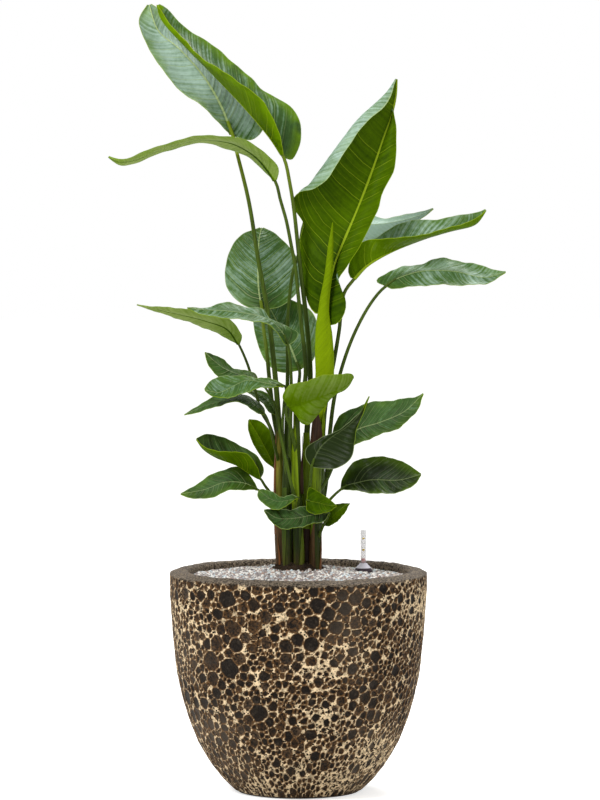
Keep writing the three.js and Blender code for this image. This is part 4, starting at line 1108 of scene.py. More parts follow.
def half_blade(leaf, side, rib, heading, outs):
    """Points of one half of a blade at each row and each share out."""
    rows = len(rib) - 1
    tip = leaf["rib"][-1]
    margin = steps([leaf["rib"][0], *leaf[side], tip], rows, *BLADE_SPAN)
    crest = None
    if side == "right" and "crest" in leaf:
        crest = steps([leaf["rib"][0], *leaf["crest"], tip], rows, *BLADE_SPAN)
    bow = leaf["bow"][0 if side == "left" else 1]
    ripple, count = leaf["wave"]
    phase = 0.4 if side == "left" else 2.1
    share = np.linspace(0, 1, rows + 1)
    reach = margin - rib
    up = unit(np.cross(heading, reach) if side == "left" else np.cross(reach, heading))
    # A broad ripple and a finer one on it, both fading at the neck and the tip.
    swell = np.sqrt(np.sin(np.pi * (0.04 + 0.92 * share)))
    lift = ripple * np.sin(2 * np.pi * count * share + phase) * swell
    lift = lift + 0.45 * ripple * np.sin(2 * np.pi * count * 2.7 * share + 3 * phase) * swell
    out = np.asarray(outs)[None, :, None]
    start, end = rib[:, None, :], margin[:, None, :]
    rise = up[:, None, :]
    if crest is None:
        point = start + (end - start) * out
        point = point - rise * (bow * swell)[:, None, None] * 4 * out * (1 - out)
    else:
        bend = 2 * crest[:, None, :] - 0.5 * start - 0.5 * end
        point = start * (1 - out) ** 2 + bend * 2 * out * (1 - out) + end * out ** 2
    return point + rise * lift[:, None, None] * out ** 2, np.linalg.norm(reach, axis=1)


def blade_piece(name, leaf, materials, look):
    """A leaf blade: a grid laid on its rib and margins, then given thickness."""
    half, rows = BLADE_GRID
    rib = steps(leaf["rib"], rows, *BLADE_SPAN)
    heading = headings(rib)
    outs = (np.arange(1, half + 1) / half) ** 1.5
    left, wide_left = half_blade(leaf, "left", rib, heading, outs)
    right, wide_right = half_blade(leaf, "right", rib, heading, outs)
    grid = np.concatenate([left[:, ::-1], rib[:, None, :], right], axis=1)
    piece, column, row = flat_grid(name, 2 * half, rows)
    places = grid[row, column]
    across = unit(np.gradient(grid, axis=1))
    forward = unit(np.gradient(grid, axis=0))
    normal = unit(np.cross(across, forward))[row, column]
    signed = np.concatenate([-outs[::-1], [0], outs])[column]
    out = np.abs(signed)
    share = row / rows
    width = np.where(signed < 0, wide_left[row], wide_right[row])
    place_corners(piece, places * MM)
    lean = np.sum((places - rib[row]) * heading[row], axis=1)
    run = distances(rib)[row] + lean
    map_corners(piece, "blade", np.stack([signed * width, run], axis=1) * DM)
    map_corners(piece, "span", np.stack([(1 - out) * width * DM, share], axis=1))
    for material in materials:
        piece.data.materials.append(material)
    run_modifier(piece, "SOLIDIFY", thickness=BLADE_SHEET * MM, offset=0.0, material_offset=1,
                 material_offset_rim=1)
    # The sheet thins towards the margin, with a groove over the rib and a keel under it.
    neck = leaf["radii"][1]
    swell = neck * (1 - share) * np.exp(-(out * width / (neck * 0.9)) ** 2)
    sheet = BLADE_SHEET * 0.5 * (1.3 - 0.6 * out)
    upper = places + normal * (sheet - 0.35 * swell)[:, None]
    lower = places - normal * (sheet + 0.7 * swell)[:, None]
    place_corners(piece, np.concatenate([upper, lower]) * MM)
    smooth(piece, 60)
    mark(piece, "tone", np.repeat([look.upper, look.under], len(upper)))
    rib_width = 0.2 * neck ** 2  # a stout stalk runs on in a broad rib
    for label, value in (("lines", look.lines), ("through", look.through),
                         ("gap", look.gap * DM), ("rib", rib_width * DM)):
        mark(piece, label, np.full(2 * len(upper), value))
    return piece


def stalk_piece(name, leaf):
    """The stalk of a leaf, from inside its shoot to inside its blade."""
    around, along = STALK_GRID
    inside = steps(leaf["rib"], 10)[1]
    centres = steps([*leaf["stalk"], leaf["rib"][0], inside], along)
    foot, neck = leaf["radii"]

    def size(share):
        return foot + (neck * 0.75 - foot) * share ** 0.8

    def groove(share, turn):
        upper_side = 1.5 * np.pi
        return -0.22 * size(share) * np.exp(-((turn - upper_side) / 0.55) ** 2)

    return tube(name, centres, size, around, groove)


def grown_leaf(name, plan, finishes):
    """One leaf: its blade with two faces and its stalk."""
    leaf = widened(plan)
    look = Look(*LEAF_LOOKS.get(name, PLAIN_LOOK))
    upper = "under" if name in OLIVE_LEAVES else "upper"
    materials = (finishes[upper], finishes["under"], finishes["stalk"])
    blade = blade_piece(f"{name}_blade", leaf, materials, look)
    stalk = stalk_piece(f"{name}_stalk", leaf)
    for material in materials:
        stalk.data.materials.append(material)
    stalk.data.polygons.foreach_set("material_index", [2] * len(stalk.data.polygons))
    # Where a leaf has a bright rib, its stalk is as bright near the neck.
    below = np.linalg.norm(corners(stalk) / MM - leaf["rib"][0], axis=1)
    bright = max(0, 2 * look.lines - 1)
    mark(stalk, "neck", bright * np.exp(-(below / NECK_FADE) ** 2))
    whole = fuse(f"{name}_grown", [blade, stalk])
    return settle(whole, [name])


def rolled_leaf(finishes):
    """The young leaf, still rolled, with its free margin wound about it."""
    around, along = SPEAR_GRID
    centres = steps(SPEAR, along)
    shares = np.linspace(0, 1, len(SPEAR_WIDTH))

    def size(share):
        return np.interp(share, shares, SPEAR_WIDTH)

    def squeeze(share):
        return 0.5 + 0.3 * smooth_step(0.35, 0.55, share)

    def lap(share, turn):
        seam = 4.4 + 2.2 * share
        past = np.mod(turn - seam, 2 * np.pi) / (2 * np.pi)
        return size(share) * (0.16 * (1 - past) ** 3 - 0.04)

    piece = tube("leaf_05_roll", centres, size, around, lap, squeeze)
    piece.data.materials.append(finishes["spear"])
    foot, tip = 620, 950
    level = np.clip((corners(piece)[:, 2] / MM - foot) / (tip - foot), 0, 1)
    mark(piece, "tone", 0.62 - 0.3 * level)
    for label, value in (("lines", 0.3), ("gap", 0.08), ("rib", 0.02)):
        mark(piece, label, np.full(len(level), value))
    return settle(piece, ["leaf_05"])


def shoot_piece(key, shoot, finishes):
    """One shoot: its core and the sheaths that wrap it."""
    around, along = SHOOT_GRID
    foot = [*shoot["path"][0][:2], SHOOT_FOOT]
    centres = steps([foot, *shoot["path"]], along)
    phase = ord(key)  # so that no two shoots have the same ribs

    def size(share):
        return np.interp(share, [0, SHOULDER, 1], shoot["radii"])

    def ribbed(share, turn):
        wave = 0.25 * np.sin(5 * turn + phase) + 0.18 * np.sin(9 * turn + 2.3 * phase)
        knot = 0.5 * np.sin(share * 23 + phase) * smooth_step(0.3, 0.6, 1 - share)
        return wave + 0.4 * knot

    core = tube(f"shoot_{key}_core", centres, size, around, ribbed)
    core.data.materials.append(finishes[shoot["finish"]])
    sheaths = [sheath_piece(f"shoot_{key}_sheath_{number}", centres, size, *sheath, finishes)
               for number, sheath in enumerate(shoot["sheaths"])]
    whole = fuse(f"shoot_{key}_grown", [core, *sheaths])
    return settle(whole, [f"shoot_{key}"])


def sheath_piece(name, centres, size, wide, point, facing, half, off, kind, finishes):
    """An old leaf's sheath: a curved strip against its shoot that ends in a point."""
    around, along = SHEATH_GRID
    piece, column, row = flat_grid(name, around, along)
    share = row / along
    beside = (column / around - 0.5) * 2  # from -1 at one margin to 1 at the other
    spread = math.radians(half) * (1 - share ** 2.5) ** 0.8
    turn = math.radians(facing) + beside * spread + 0.12 * np.sin(4 * share + wide)
    height = wide + (point - wide) * share * (1 - 0.1 * beside ** 2)
    spine = np.stack([np.interp(height, centres[:, 2], centres[:, k]) for k in (0, 1)], axis=1)
    along_share = (height - centres[0, 2]) / (centres[-1, 2] - centres[0, 2])
    radius = size(np.clip(along_share, 0, 1)) + off * (0.6 + 0.4 * share)
    radius = radius + 0.35 * np.sin(5 * turn + wide) + 0.9 * np.abs(beside) ** 5 * (1 - share)
    places = np.stack([spine[:, 0] + np.cos(turn) * radius,
                       spine[:, 1] + np.sin(turn) * radius, height], axis=1)
    place_corners(piece, places * MM)
    run_modifier(piece, "SOLIDIFY", thickness=SHEATH_SHEET * MM, offset=0.0)
    smooth(piece, 50)
    piece.data.materials.append(finishes[kind])
    return piece


# ---- the pot ----------------------------------------------------------------
WALL_ROUND = 2 * math.pi * 200  # length of the wall unrolled at its mean radius
WALL_FOOT = 4  # where the craters start over the floor
WALL_BAND = 362  # and how far up they reach
# Craters are dropped in turns, wide ones first: share of the widest, and tries.
CRATER_TURNS = ((1, 350), (0.68, 900), (0.46, 2200), (0.3, 4200))
SMALL_TRIES = 9000
MOST_CRATERS = 9000
CRATER_GAP = 0.5
WIDE_CRATER = 7  # radius over which a crater is looked for among the wide ones
FAR_FROM_NET = 9.0  # the "ridge" of all that has no craters
GOLDEN_SHARE = 0.6180339  # spreads the craters' shades evenly
# Cream-washed places on the first seen side, the upper right one a painted highlight: across, up,
# reach and how cream.
CREAM_AND_HIGHLIGHT_PATCHES = [(28, 232, 34, 0.8), (46, 150, 32, 0.8), (-6, 66, 36, 0.7), (86, 240, 22, 0.4),
                 (122, 70, 44, 0.8), (62, 24, 40, 0.8), (198, 318, 30, 0.9), (-60, 20, 40, 0.6)]
# Places of wide craters: across, up and reach.
COARSE_PATCHES = [(-92, 312, 44), (-118, 236, 44), (96, 318, 20), (-66, 150, 24), (-8, 92, 22)]
# Places greyed partly by a dusting and partly by painted sheen: across, up and reach.
DUST_AND_SHEEN_PATCHES = [(-142, 112, 44), (-108, 56, 36), (134, 96, 40), (-202, 240, 40), (96, 30, 30)]


def wall_radius(height):
    """Radius of the pot's wall at a height, in millimetres."""
    radii, heights = zip(*POT_OUTLINE)
    return np.interp(height, heights, radii)


def on_wall(turn, height):
    """A place on the pot's wall as a vector, in metres."""
    radius = wall_radius(height)
    return Vector((radius * math.cos(turn), radius * math.sin(turn), height)) * MM


def nearness(place, x, z, reach):
    """1 at a spot of the first seen side and fading round it, 0 at the back."""
    if place.y >= 0:
        return 0.0
    gap = math.hypot(place.x / MM - x, place.z / MM - z) / reach
    return math.exp(-gap * gap)


def fineness(place):
    """How fine the craters are at a place on the wall, and how washed with cream, one patch of it
    a painted highlight.
    """
    fine = 0.80 + 1.0 * noise.noise(place * 9.0 + Vector((4.0, 1.5, 0.0)))
    cream = 1.4 * noise.noise(place * 11.0 + Vector((0.0, 7.0, 3.0))) - 0.44
    for *spot, wash in CREAM_AND_HIGHLIGHT_PATCHES:
        near = nearness(place, *spot)
        fine += 1.1 * near
        cream = max(cream, wash * near)
    for spot in COARSE_PATCHES:
        near = nearness(place, *spot)
        fine -= 0.9 * near
        cream -= 0.8 * near
    return min(max(fine, 0.0), 1.0), min(max(cream, 0.0), 1.0)


def dust_and_sheen_level(place):
    """How grey the glaze is at a place on the wall, partly a dusting and partly painted sheen."""
    dust_and_sheen = 1.4 * noise.noise(place * 7.0 + Vector((9.0, 2.0, 5.0))) - 0.25
    dust_and_sheen = max(dust_and_sheen, *(nearness(place, *spot) for spot in DUST_AND_SHEEN_PATCHES))
    return min(max(dust_and_sheen, 0.0), 1.0)


def crater_places(settings):
    """Crater centres on the unrolled wall with their radii, widest first."""
    draws = np.random.default_rng(settings.seed)
    wide, small = settings.crater_wide / MM, settings.crater_small / MM
    turns = [(wide * share, tries) for share, tries in CRATER_TURNS]
    kept, count = np.zeros((MOST_CRATERS, 3)), 0
    for radius, tries in (*turns, (small, SMALL_TRIES)):
        for turn, height, size in draws.random((tries, 3)):
            size = radius * (0.8 + 0.4 * size)
            x, y = turn * WALL_ROUND, WALL_FOOT + height * WALL_BAND
            fine, _ = fineness(on_wall(turn * 2 * math.pi, y))
            widest = wide * 1.2 - (wide * 1.2 - 1.25 * small) * fine ** 0.7
            # About one in six may be middling wide where the others are fine.
            if turn * 997 % 1 < 0.16:
                widest = max(widest, wide * 0.52)
            if size > widest:
                continue
            gap = np.abs(kept[:count, 0] - x)
            gap = np.minimum(gap, WALL_ROUND - gap)
            away = np.hypot(gap, kept[:count, 1] - y)
            if np.any(away < (kept[:count, 2] + size) * 0.94 + CRATER_GAP):
                continue
            kept[count] = x, y, size
            count += 1
    return kept[:count]


def crater_trees(craters):
    """Search trees for the wide and the small craters, with how many to ask for."""
    trees = []
    wide = craters[:, 2] > WIDE_CRATER
    for chosen, number in ((wide, 4), (~wide, 10)):
        picked = np.flatnonzero(chosen)
        tree = kdtree.KDTree(len(picked) * 3)
        # A copy at either side carries the craters over the seam.
        for copy in (-1, 0, 1):
            for i in picked:
                tree.insert((craters[i, 0] + copy * WALL_ROUND, craters[i, 1], 0), int(i))
        tree.balance()
        trees.append((tree, number))
    return trees


def crater_field(turn, height, craters):
    """For wall places: how deep in a crater, how far from the net, and which one."""
    trees = crater_trees(craters)
    x = turn / (2 * math.pi) * WALL_ROUND
    sunk, ridge, which = np.zeros(len(x)), np.zeros(len(x)), np.zeros(len(x))
    for k in range(len(x)):
        # The two nearest craters by their edges; the net runs where they tie.
        best, second, first = math.inf, math.inf, 0
        warp = noise.noise(Vector((x[k] * 0.11, height[k] * 0.11, 0.5))) * 1.6
        for tree, number in trees:
            for _, i, away in tree.find_n((x[k] + warp, height[k] - warp, 0), number):
                level = away - craters[i, 2]
                if level < best:
                    best, second, first = level, best, i
                elif level < second:
                    second = level
        sunk[k] = -best / craters[first, 2]
        ridge[k] = min(second - best, 4.6 - 1.3 * best)
        which[k] = (first * GOLDEN_SHARE) % 1
    return sunk, ridge, which


def pot_outline(along):
    """The pot's outline in so many steps, from the foot over the rim to the floor
    inside, and how many of its points are foot, wall and rim."""
    foot = [(0.01, 0), (BASE_RADIUS - 7, 0), (BASE_RADIUS - 2, 0.3), (BASE_RADIUS, 1.8)]
    rim = [(POT_RADIUS - 1.6, POT_HEIGHT - 5.2), (POT_RADIUS - 4.5, POT_HEIGHT - 4),
           (POT_RADIUS - 9, POT_HEIGHT - 2.6), (POT_RADIUS - 14, POT_HEIGHT - 1.2),
           (INNER_RADIUS + 11, POT_HEIGHT - 0.2), (INNER_RADIUS + 6, POT_HEIGHT - 0.3),
           (INNER_RADIUS + 2.5, POT_HEIGHT - 2), (INNER_RADIUS + 0.6, POT_HEIGHT - 5)]
    inner = [(INNER_RADIUS, POT_HEIGHT - 8)]
    inner += [(wall_radius(z) - (POT_RADIUS - INNER_RADIUS), z)
              for z in (300, 230, 165, 110, 66, FLOOR_THICKNESS + 8)]
    inner += [(inner[-1][0] - 8, FLOOR_THICKNESS), (0.01, FLOOR_THICKNESS)]
    count = along - len(inner) - len(rim) - len(foot) + 1
    wall = [(wall_radius(z), z) for z in np.linspace(WALL_FOOT, POT_HEIGHT - 6.5, count)]
    return np.array(foot + wall + rim + inner, float), (len(foot), count, len(rim))


def pot_piece():
    """The pot: a wrapped grid with its craters pressed into the wall."""
    settings = bpy.context.scene.bop_pot
    around, along = POT_GRID
    outline, (foot, wall, rim) = pot_outline(along)
    piece, column, row = flat_grid("pot_glazed", around, len(outline) - 1)
    turn = 2 * math.pi * (column % around) / around
    radius, height = outline[row, 0], outline[row, 1]
    outer = (row >= foot) & (row < foot + wall)
    lip = (row >= foot + wall) & (row < foot + wall + rim)
    sunk, which = np.zeros(len(row)), np.zeros(len(row))
    ridge = np.full(len(row), FAR_FROM_NET)
    craters = crater_places(settings)
    sunk[outer], ridge[outer], which[outer] = crater_field(turn[outer], height[outer], craters)
    size = settings.net_width / MM
    depth = settings.crater_depth / MM
    bowl = smooth_step(size * 0.2, size * 2.6, ridge) * np.clip(0.55 + 0.6 * sunk, 0, 1)
    # The relief fades at the foot and at the rim.
    fade = smooth_step(2, 10, height) * smooth_step(POT_HEIGHT - 4, POT_HEIGHT - 9, height)
    edge = smooth_step(1, 6, height) * smooth_step(POT_HEIGHT - 3, POT_HEIGHT - 24, height)
    spots = [Vector((r * math.cos(t), r * math.sin(t), z))
             for r, t, z in zip(radius, turn, height)]
    grain = np.array([crumple(spot * 0.05, 0.8) for spot in spots])
    # The cream is cream glaze, and at the upper right a painted highlight.
    mark(piece, "cream", [fineness(spot * MM)[1] for spot in spots])
    # Grey over the craters, partly a dusting and partly painted sheen.
    mark(piece, "dust_and_sheen", [dust_and_sheen_level(spot * MM) for spot in spots])
    radius = radius - np.where(outer, depth * bowl * fade - 0.5 * grain * fade, 0)
    height = height - np.where(lip, 0.8 + 1.1 * grain, 0)
    places = np.stack([radius * np.cos(turn), radius * np.sin(turn), height], axis=1)
    place_corners(piece, places * MM)
    mark(piece, "sunk", sunk)
    mark(piece, "ridge", ridge)
    mark(piece, "which", which)
    mark(piece, "outer", outer * edge)
    close_seam(piece, 2e-5)
    smooth(piece, 60)
    piece.data.materials.append(pot_finish())
    return settle(piece, ["pot"])


def pot_finish():
    """Lava glaze: dark craters in a cream net, with small pits and a worn rim."""
    s = bpy.context.scene.bop_pot
    material, wires, shader = finish("lava glaze", IOR=1.5, Specular_IOR_Level=0.16)
    place = wires.place()
    sunk, which, wash = map(wires.number, ("sunk", "which", "cream"))
    broken = wires.cloud(place, 75.0, 5.0, 0.7)
    grain = use(wires, mottling(), Place=place, Broad=14.0, Fine=260.0).outputs["Grain"]
    # Where the wash of cream lies, with a painted highlight at the upper right, and how far a
    # place is from the net's middle.
    washed = wires.times_plus(broken, 1.9, wires.times_plus(wash, 1.1, -1.35))
    washed = wires.ease(washed, 0.10, 0.42)
    jag = wires.times_plus(wires.cloud(place, 190.0, 4.0, 0.75), 2.4, -1.2)
    level = wires.plus(wires.number("ridge"), jag)
    width = wires.times_plus(wires.cloud(place, 26.0, 3.0, 0.6), 1.6, 0.45)
    width = wires.times_plus(wash, 1.2, width)
    width = wires.times_plus(washed, 1.0, width)
    net_mask = wires.ease(level, wires.plus(width, 0.5), wires.plus(width, -0.7))
    edge = wires.ease(level, wires.plus(width, 2.8), wires.plus(width, 0.2))
    # Pinholes, and rounder dots that open the net where it is wide.
    pit = wires.ease(wires.cells(place, 300.0), 0.36, 0.20)
    dot = wires.times_plus(grain, 0.25, wires.cells(place, 205.0))
    dot = wires.ease(dot, 0.52, 0.42)
    holes = wires.most(wires.times(pit, 0.7), dot)
    # The craters: each its own brown, darker in the middle, with painted glints, and grey that is
    # partly a dusting and partly painted sheen.
    brown = wires.blend(wires.ease(which, 0.30, 1.0), shade(s.bowl), shade(s.warm, 0.62))
    greyish = wires.times(wires.ease(which, 0.86, 0.94), 0.5)
    brown = wires.blend(greyish, brown, shade(s.rim, 0.5))
    brown = wires.blend(wires.ease(grain, 0.40, 0.62), shade(s.bowl, 0.35), brown)
    middle = wires.times(wires.ease(sunk, 0.15, 0.8), 0.6)
    base = wires.blend(middle, brown, shade(s.bowl, 0.5))
    glint = wires.times(wires.ease(wires.cloud(place, 95.0, 4.0, 0.75), 0.50, 0.66), 0.2)
    base = wires.blend(glint, base, shade(s.rim, 0.72))
    dust_and_sheen_share = wires.times(wires.number("dust_and_sheen"), 0.42)
    base = wires.blend(dust_and_sheen_share, base, shade(s.rim, 0.95))
    # The net: rusty at its edges, cream in the middle.
    rust = wires.blend(grain, shade(s.warm, 0.4), shade(s.warm, 1.35))
    base = wires.blend(wires.times(edge, 0.75), base, rust)
    bright = wires.ease(wires.cloud(place, 110.0, 3.0, 0.7), 0.34, 0.58)
    tint = wires.blend(bright, shade(s.net, 0.5), shade(s.net, 1.18))
    base = wires.blend(net_mask, base, tint)
    base = wires.blend(wires.times(washed, wires.ease(level, 5.0, 2.5)), base, tint)
    open_net = wires.most(washed, wires.ease(sunk, 0.0, -0.35))
    base = wires.blend(wires.times(holes, open_net), base, shade(s.bowl, 0.5))
    # The rim and the inside, with a ragged border to the craters.
    lip = wires.blend(wires.ease(grain, 0.38, 0.60), shade(s.rim, 0.22), shade(s.rim, 1.25))
    lip = wires.blend(wires.times(dot, 0.75), lip, shade(s.bowl, 0.8))
    lip = wires.blend(wires.times(pit, 0.35), lip, shade(s.net, 0.9))
    outer = wires.ease(wires.plus(wires.number("outer"), broken), 0.62, 0.78)
    base = wires.blend(outer, lip, base)
    dull = wires.times_plus(grain, 0.3, wires.times_plus(net_mask, 0.3, 0.36))
    relief = wires.times_plus(holes, -0.7, wires.times(edge, 0.8))
    relief = wires.times_plus(grain, 1.1, relief)
    coat(wires, shader, base, dull, relief, 0.9, 0.0018)
    return material


# ---- gravel and soil --------------------------------------------------------
def pebbles(name, spots, sizes, squash, seed):
    """Many small uneven stones as one mesh, each a rounded block of its own."""
    clear_hands()
    bpy.ops.mesh.primitive_ico_sphere_add(subdivisions=1, radius=1)
    seedling = bpy.context.object
    shape = corners(seedling)
    faces = np.array([p.vertices[:] for p in seedling.data.polygons])
    draws = np.random.default_rng(seed)
    count = len(spots)
    # Each stone gets a random turn, as a quaternion and then as a matrix.
    turns = draws.normal(size=(count, 4))
    turns /= np.linalg.norm(turns, axis=1, keepdims=True)
    w, x, y, z = turns.T
    spin = np.stack([
        1 - 2 * (y * y + z * z), 2 * (x * y - z * w), 2 * (x * z + y * w),
        2 * (x * y + z * w), 1 - 2 * (x * x + z * z), 2 * (y * z - x * w),
        2 * (x * z - y * w), 2 * (y * z + x * w), 1 - 2 * (x * x + y * y)], axis=1)
    spin = spin.reshape(-1, 3, 3)
    # Then it is stretched, dented, sized, turned and put in its place.
    stretch = 1 + squash * (draws.random((count, 1, 3)) - 0.5) * 2
    dents = 1 + 0.16 * (draws.random((count, len(shape), 1)) - 0.5) * 2
    stones = shape[None] * dents * stretch * sizes[:, None, None]
    stones = np.einsum("nij,nvj->nvi", spin, stones) + spots[:, None, :]
    mesh = bpy.data.meshes.new(name)
    every = (faces[None] + np.arange(count)[:, None, None] * len(shape)).reshape(-1, 3)
    mesh.from_pydata((stones.reshape(-1, 3) * MM).tolist(), [], every.tolist())
    mesh.update()
    seedling.data = mesh
    seedling.name = name
    mark(seedling, "stone", np.repeat(draws.random(count), len(shape)))
    return seedling


def gravel_finish():
    """Washed decorative gravel: white, bluish, tan and dark grains."""
    s = bpy.context.scene.bop_fill
    material, wires, shader = finish("washed gravel", IOR=1.5, Specular_IOR_Level=0.25)
    stone = wires.number("stone")
    patch = use(wires, mottling(), Place=wires.place(), Broad=420.0, Fine=1600.0)
    base = shade(s.grey)
    for low, high, tint in ((0.22, 0.40, shade(s.pale)), (0.62, 0.66, shade(s.cool)),
                            (0.74, 0.80, shade(s.tan)), (0.92, 0.94, shade(s.grey, 0.35))):
        base = wires.blend(wires.ease(stone, low, high), base, tint)
    base = wires.blend(wires.times(patch.outputs["Value"], 0.3), base, shade(s.grey, 0.9))
    dull = wires.times_plus(patch.outputs["Grain"], 0.3, 0.5)
    coat(wires, shader, base, dull, patch.outputs["Grain"], 0.4, 0.0004)
    return material


def soil_finish(name="damp soil", gain=1.0):
    """Dark crumbly planting soil."""
    s = bpy.context.scene.bop_fill
    material, wires, shader = finish(name, IOR=1.45, Specular_IOR_Level=0.3)
    patch = use(wires, mottling(), Place=wires.place(), Broad=120.0, Fine=600.0)
    dark, light = shade(s.soil, 0.45 * gain), shade(s.soil, 1.7 * gain)
    base = wires.blend(patch.outputs["Value"], dark, light)
    dull = wires.times_plus(patch.outputs["Grain"], 0.25, 0.68)
    coat(wires, shader, base, dull, patch.outputs["Grain"], 0.9, 0.002)
    return material


def clay_finish():
    """Fired clay granules of the drainage layer."""
    s = bpy.context.scene.bop_fill
    material, wires, shader = finish("clay granules", IOR=1.5, Specular_IOR_Level=0.3)
    place = wires.place()
    balls = wires.cells(place, 110.0)
    patch = use(wires, mottling(), Place=place, Broad=90.0, Fine=700.0)
    base = wires.blend(patch.outputs["Value"], shade(s.tan, 0.30), shade(s.tan, 0.7))
    base = wires.blend(wires.ease(balls, 0.35, 0.7), base, shade(s.soil, 0.5))
    dull = wires.times_plus(patch.outputs["Grain"], 0.2, 0.7)
    coat(wires, shader, base, dull, wires.times(balls, -1.0), 0.8, 0.004)
    return material


# ---- the gauge --------------------------------------------------------------
def gauge_plastic(name, tint, rough, **plain):
    """Moulded plastic with faint flow lines and handling marks."""
    material, wires, shader = finish(name, IOR=1.46, **plain)
    patch = use(wires, mottling(), Place=wires.place(), Broad=160.0, Fine=1500.0)
    faint = wires.times(patch.outputs["Value"], 0.35)
    base = wires.blend(faint, shade(tint), shade(tint, 0.82))
    dull = wires.times_plus(patch.outputs["Grain"], 0.12, rough)
    coat(wires, shader, base, dull, patch.outputs["Grain"], 0.15, 0.0002)
    return material


def gauge_part(name, outline, around, material):
    """A turned part of the gauge in its plastic."""
    piece = lathe(name, outline, around, (GAUGE_X, GAUGE_Y))
    piece.data.materials.append(material)
    return piece


def gauge_pipe(s):
    """The clear tube, closed at its rounded top."""
    bore = TUBE_RADIUS - TUBE_WALL
    foot = BELL_FOOT - 30
    outline = [
        (bore, foot), (TUBE_RADIUS - 0.3, foot), (TUBE_RADIUS, foot + 0.5),
        (TUBE_RADIUS, TUBE_TOP - 2.4), (TUBE_RADIUS - 0.5, TUBE_TOP - 1),
        (TUBE_RADIUS - 1.6, TUBE_TOP - 0.2), (0.01, TUBE_TOP), (0.01, TUBE_TOP - 1.6),
        (bore - 0.6, TUBE_TOP - 1.8), (bore, TUBE_TOP - 2.8), (bore, foot)]
    clear = gauge_plastic("clear plastic", s.clear, 0.25, Alpha=0.28)
    settle(gauge_part("gauge_pipe", outline, PIPE_ROUND, clear), ["gauge_tube"])


def gauge_ticks(s):
    """The short level marks on the front of the tube, bent to its round."""
    paint = gauge_plastic("tick paint", s.tick, 0.4)
    lozenge = [(0.01, -0.2), (0.8, -0.2), (1, 0), (0.8, 0.2), (0.01, 0.2)]
    for number, (level, high) in enumerate(TICKS):
        piece = lathe(f"gauge_tick_{number + 1}", lozenge, TICK_ROUND)
        flat = corners(piece) / MM
        turn = flat[:, 0] * 0.5 * TICK_WIDTH / TUBE_RADIUS
        away = TUBE_RADIUS + 0.15 + flat[:, 2]
        places = np.stack([GAUGE_X + away * np.sin(turn), GAUGE_Y - away * np.cos(turn),
                           level + 0.5 * high * flat[:, 1]], axis=1)
        place_corners(piece, places * MM)
        piece.data.materials.append(paint)
        settle(piece)


def gauge_bell(s, dark):
    """The bell-shaped cap on the gravel, dark at its foot."""
    top = TUBE_RADIUS + 1.6
    hole = TUBE_RADIUS + 0.3
    outline = [
        (hole, 0), (BELL_RADIUS - 0.6, 0), (BELL_RADIUS, 0.6), (BELL_RADIUS, 2.6),
        (BELL_RADIUS - 0.6, 3.6), (BELL_RADIUS - 1.4, 5), (BELL_RADIUS - 2.7, 7),
        (BELL_RADIUS - 4.8, 9.6), (BELL_RADIUS - 7, 11.8), (top + 0.4, BELL_HEIGHT - 1.4),
        (top, BELL_HEIGHT - 0.4), (top - 0.5, BELL_HEIGHT), (hole, BELL_HEIGHT), (hole, 0)]
    lilac = gauge_plastic("bell plastic", s.bell, 0.12, Transmission_Weight=0.12,
                          Coat_Weight=0.3)
    bell = gauge_part("gauge_cap", [(r, z + BELL_FOOT) for r, z in outline],
                      BELL_ROUND, lilac)
    bell.data.materials.append(dark)
    border = (BELL_FOOT + BELL_DARK_FOOT) * MM
    bell.data.polygons.foreach_set(
        "material_index", [int(face.center.z < border) for face in bell.data.polygons])
    settle(bell, ["gauge_bell"])


def gauge_float(s):
    """The red float, with its thin rod down the sleeve."""
    radius = TUBE_RADIUS - TUBE_WALL - 0.3
    low, high = (BELL_FOOT + reach for reach in FLOAT_REACH)
    foot = SLEEVE_FOOT + 4.3
    outline = [(0.01, foot), (1.2, foot), (1.2, low), (radius - 0.8, low), (radius, low + 0.9),
               (radius, high - 1.2), (radius - 1.1, high - 0.2), (0.01, high)]
    red = gauge_plastic("red float", s.float_red, 0.35)
    settle(gauge_part("gauge_bob", outline, FLOAT_ROUND, red), ["gauge_float"])


# ---- laying the fill --------------------------------------------------------
def dress(node, material):
    """Gives a kept CAD node its finish."""
    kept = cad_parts[node]
    kept.data.materials.clear()
    kept.data.materials.append(material)


def bed_height(x, y):
    """Height of the gravel's own top at a place."""
    above, down = Vector((x * MM, y * MM, 0.5)), Vector((0, 0, -1))
    found, place, _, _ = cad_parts["gravel"].ray_cast(above, down)
    return place.z / MM if found else GRAVEL_TOP


def gravel_stones(s, gravel):
    """Loose grains over the gravel's own top, clear of the pot and the bell."""
    draws = np.random.default_rng(s.seed)
    inner, outer = MOUND_RADIUS - 3, GRAVEL_REACH
    away = np.sqrt(inner ** 2 + (outer ** 2 - inner ** 2) * draws.random(s.grains))
    turn = draws.random(s.grains) * 2 * math.pi
    sizes = 0.5 * s.grain / MM * (0.7 + 0.6 * draws.random(s.grains))
    high = np.array([bed_height(r * math.cos(t), r * math.sin(t))
                     for r, t in zip(away, turn)])
    high = high - 1.6 + 1.8 * draws.random(s.grains)
    spots = np.stack([away * np.cos(turn), away * np.sin(turn), high], axis=1)
    free = np.hypot(spots[:, 0] - GAUGE_X, spots[:, 1] - GAUGE_Y) > BELL_RADIUS + sizes
    keep = free & (away < outer - sizes)
    stones = pebbles("gravel_stones", spots[keep], sizes[keep], 0.28, s.seed + 1)
    stones.data.materials.append(gravel)
    settle(stones)


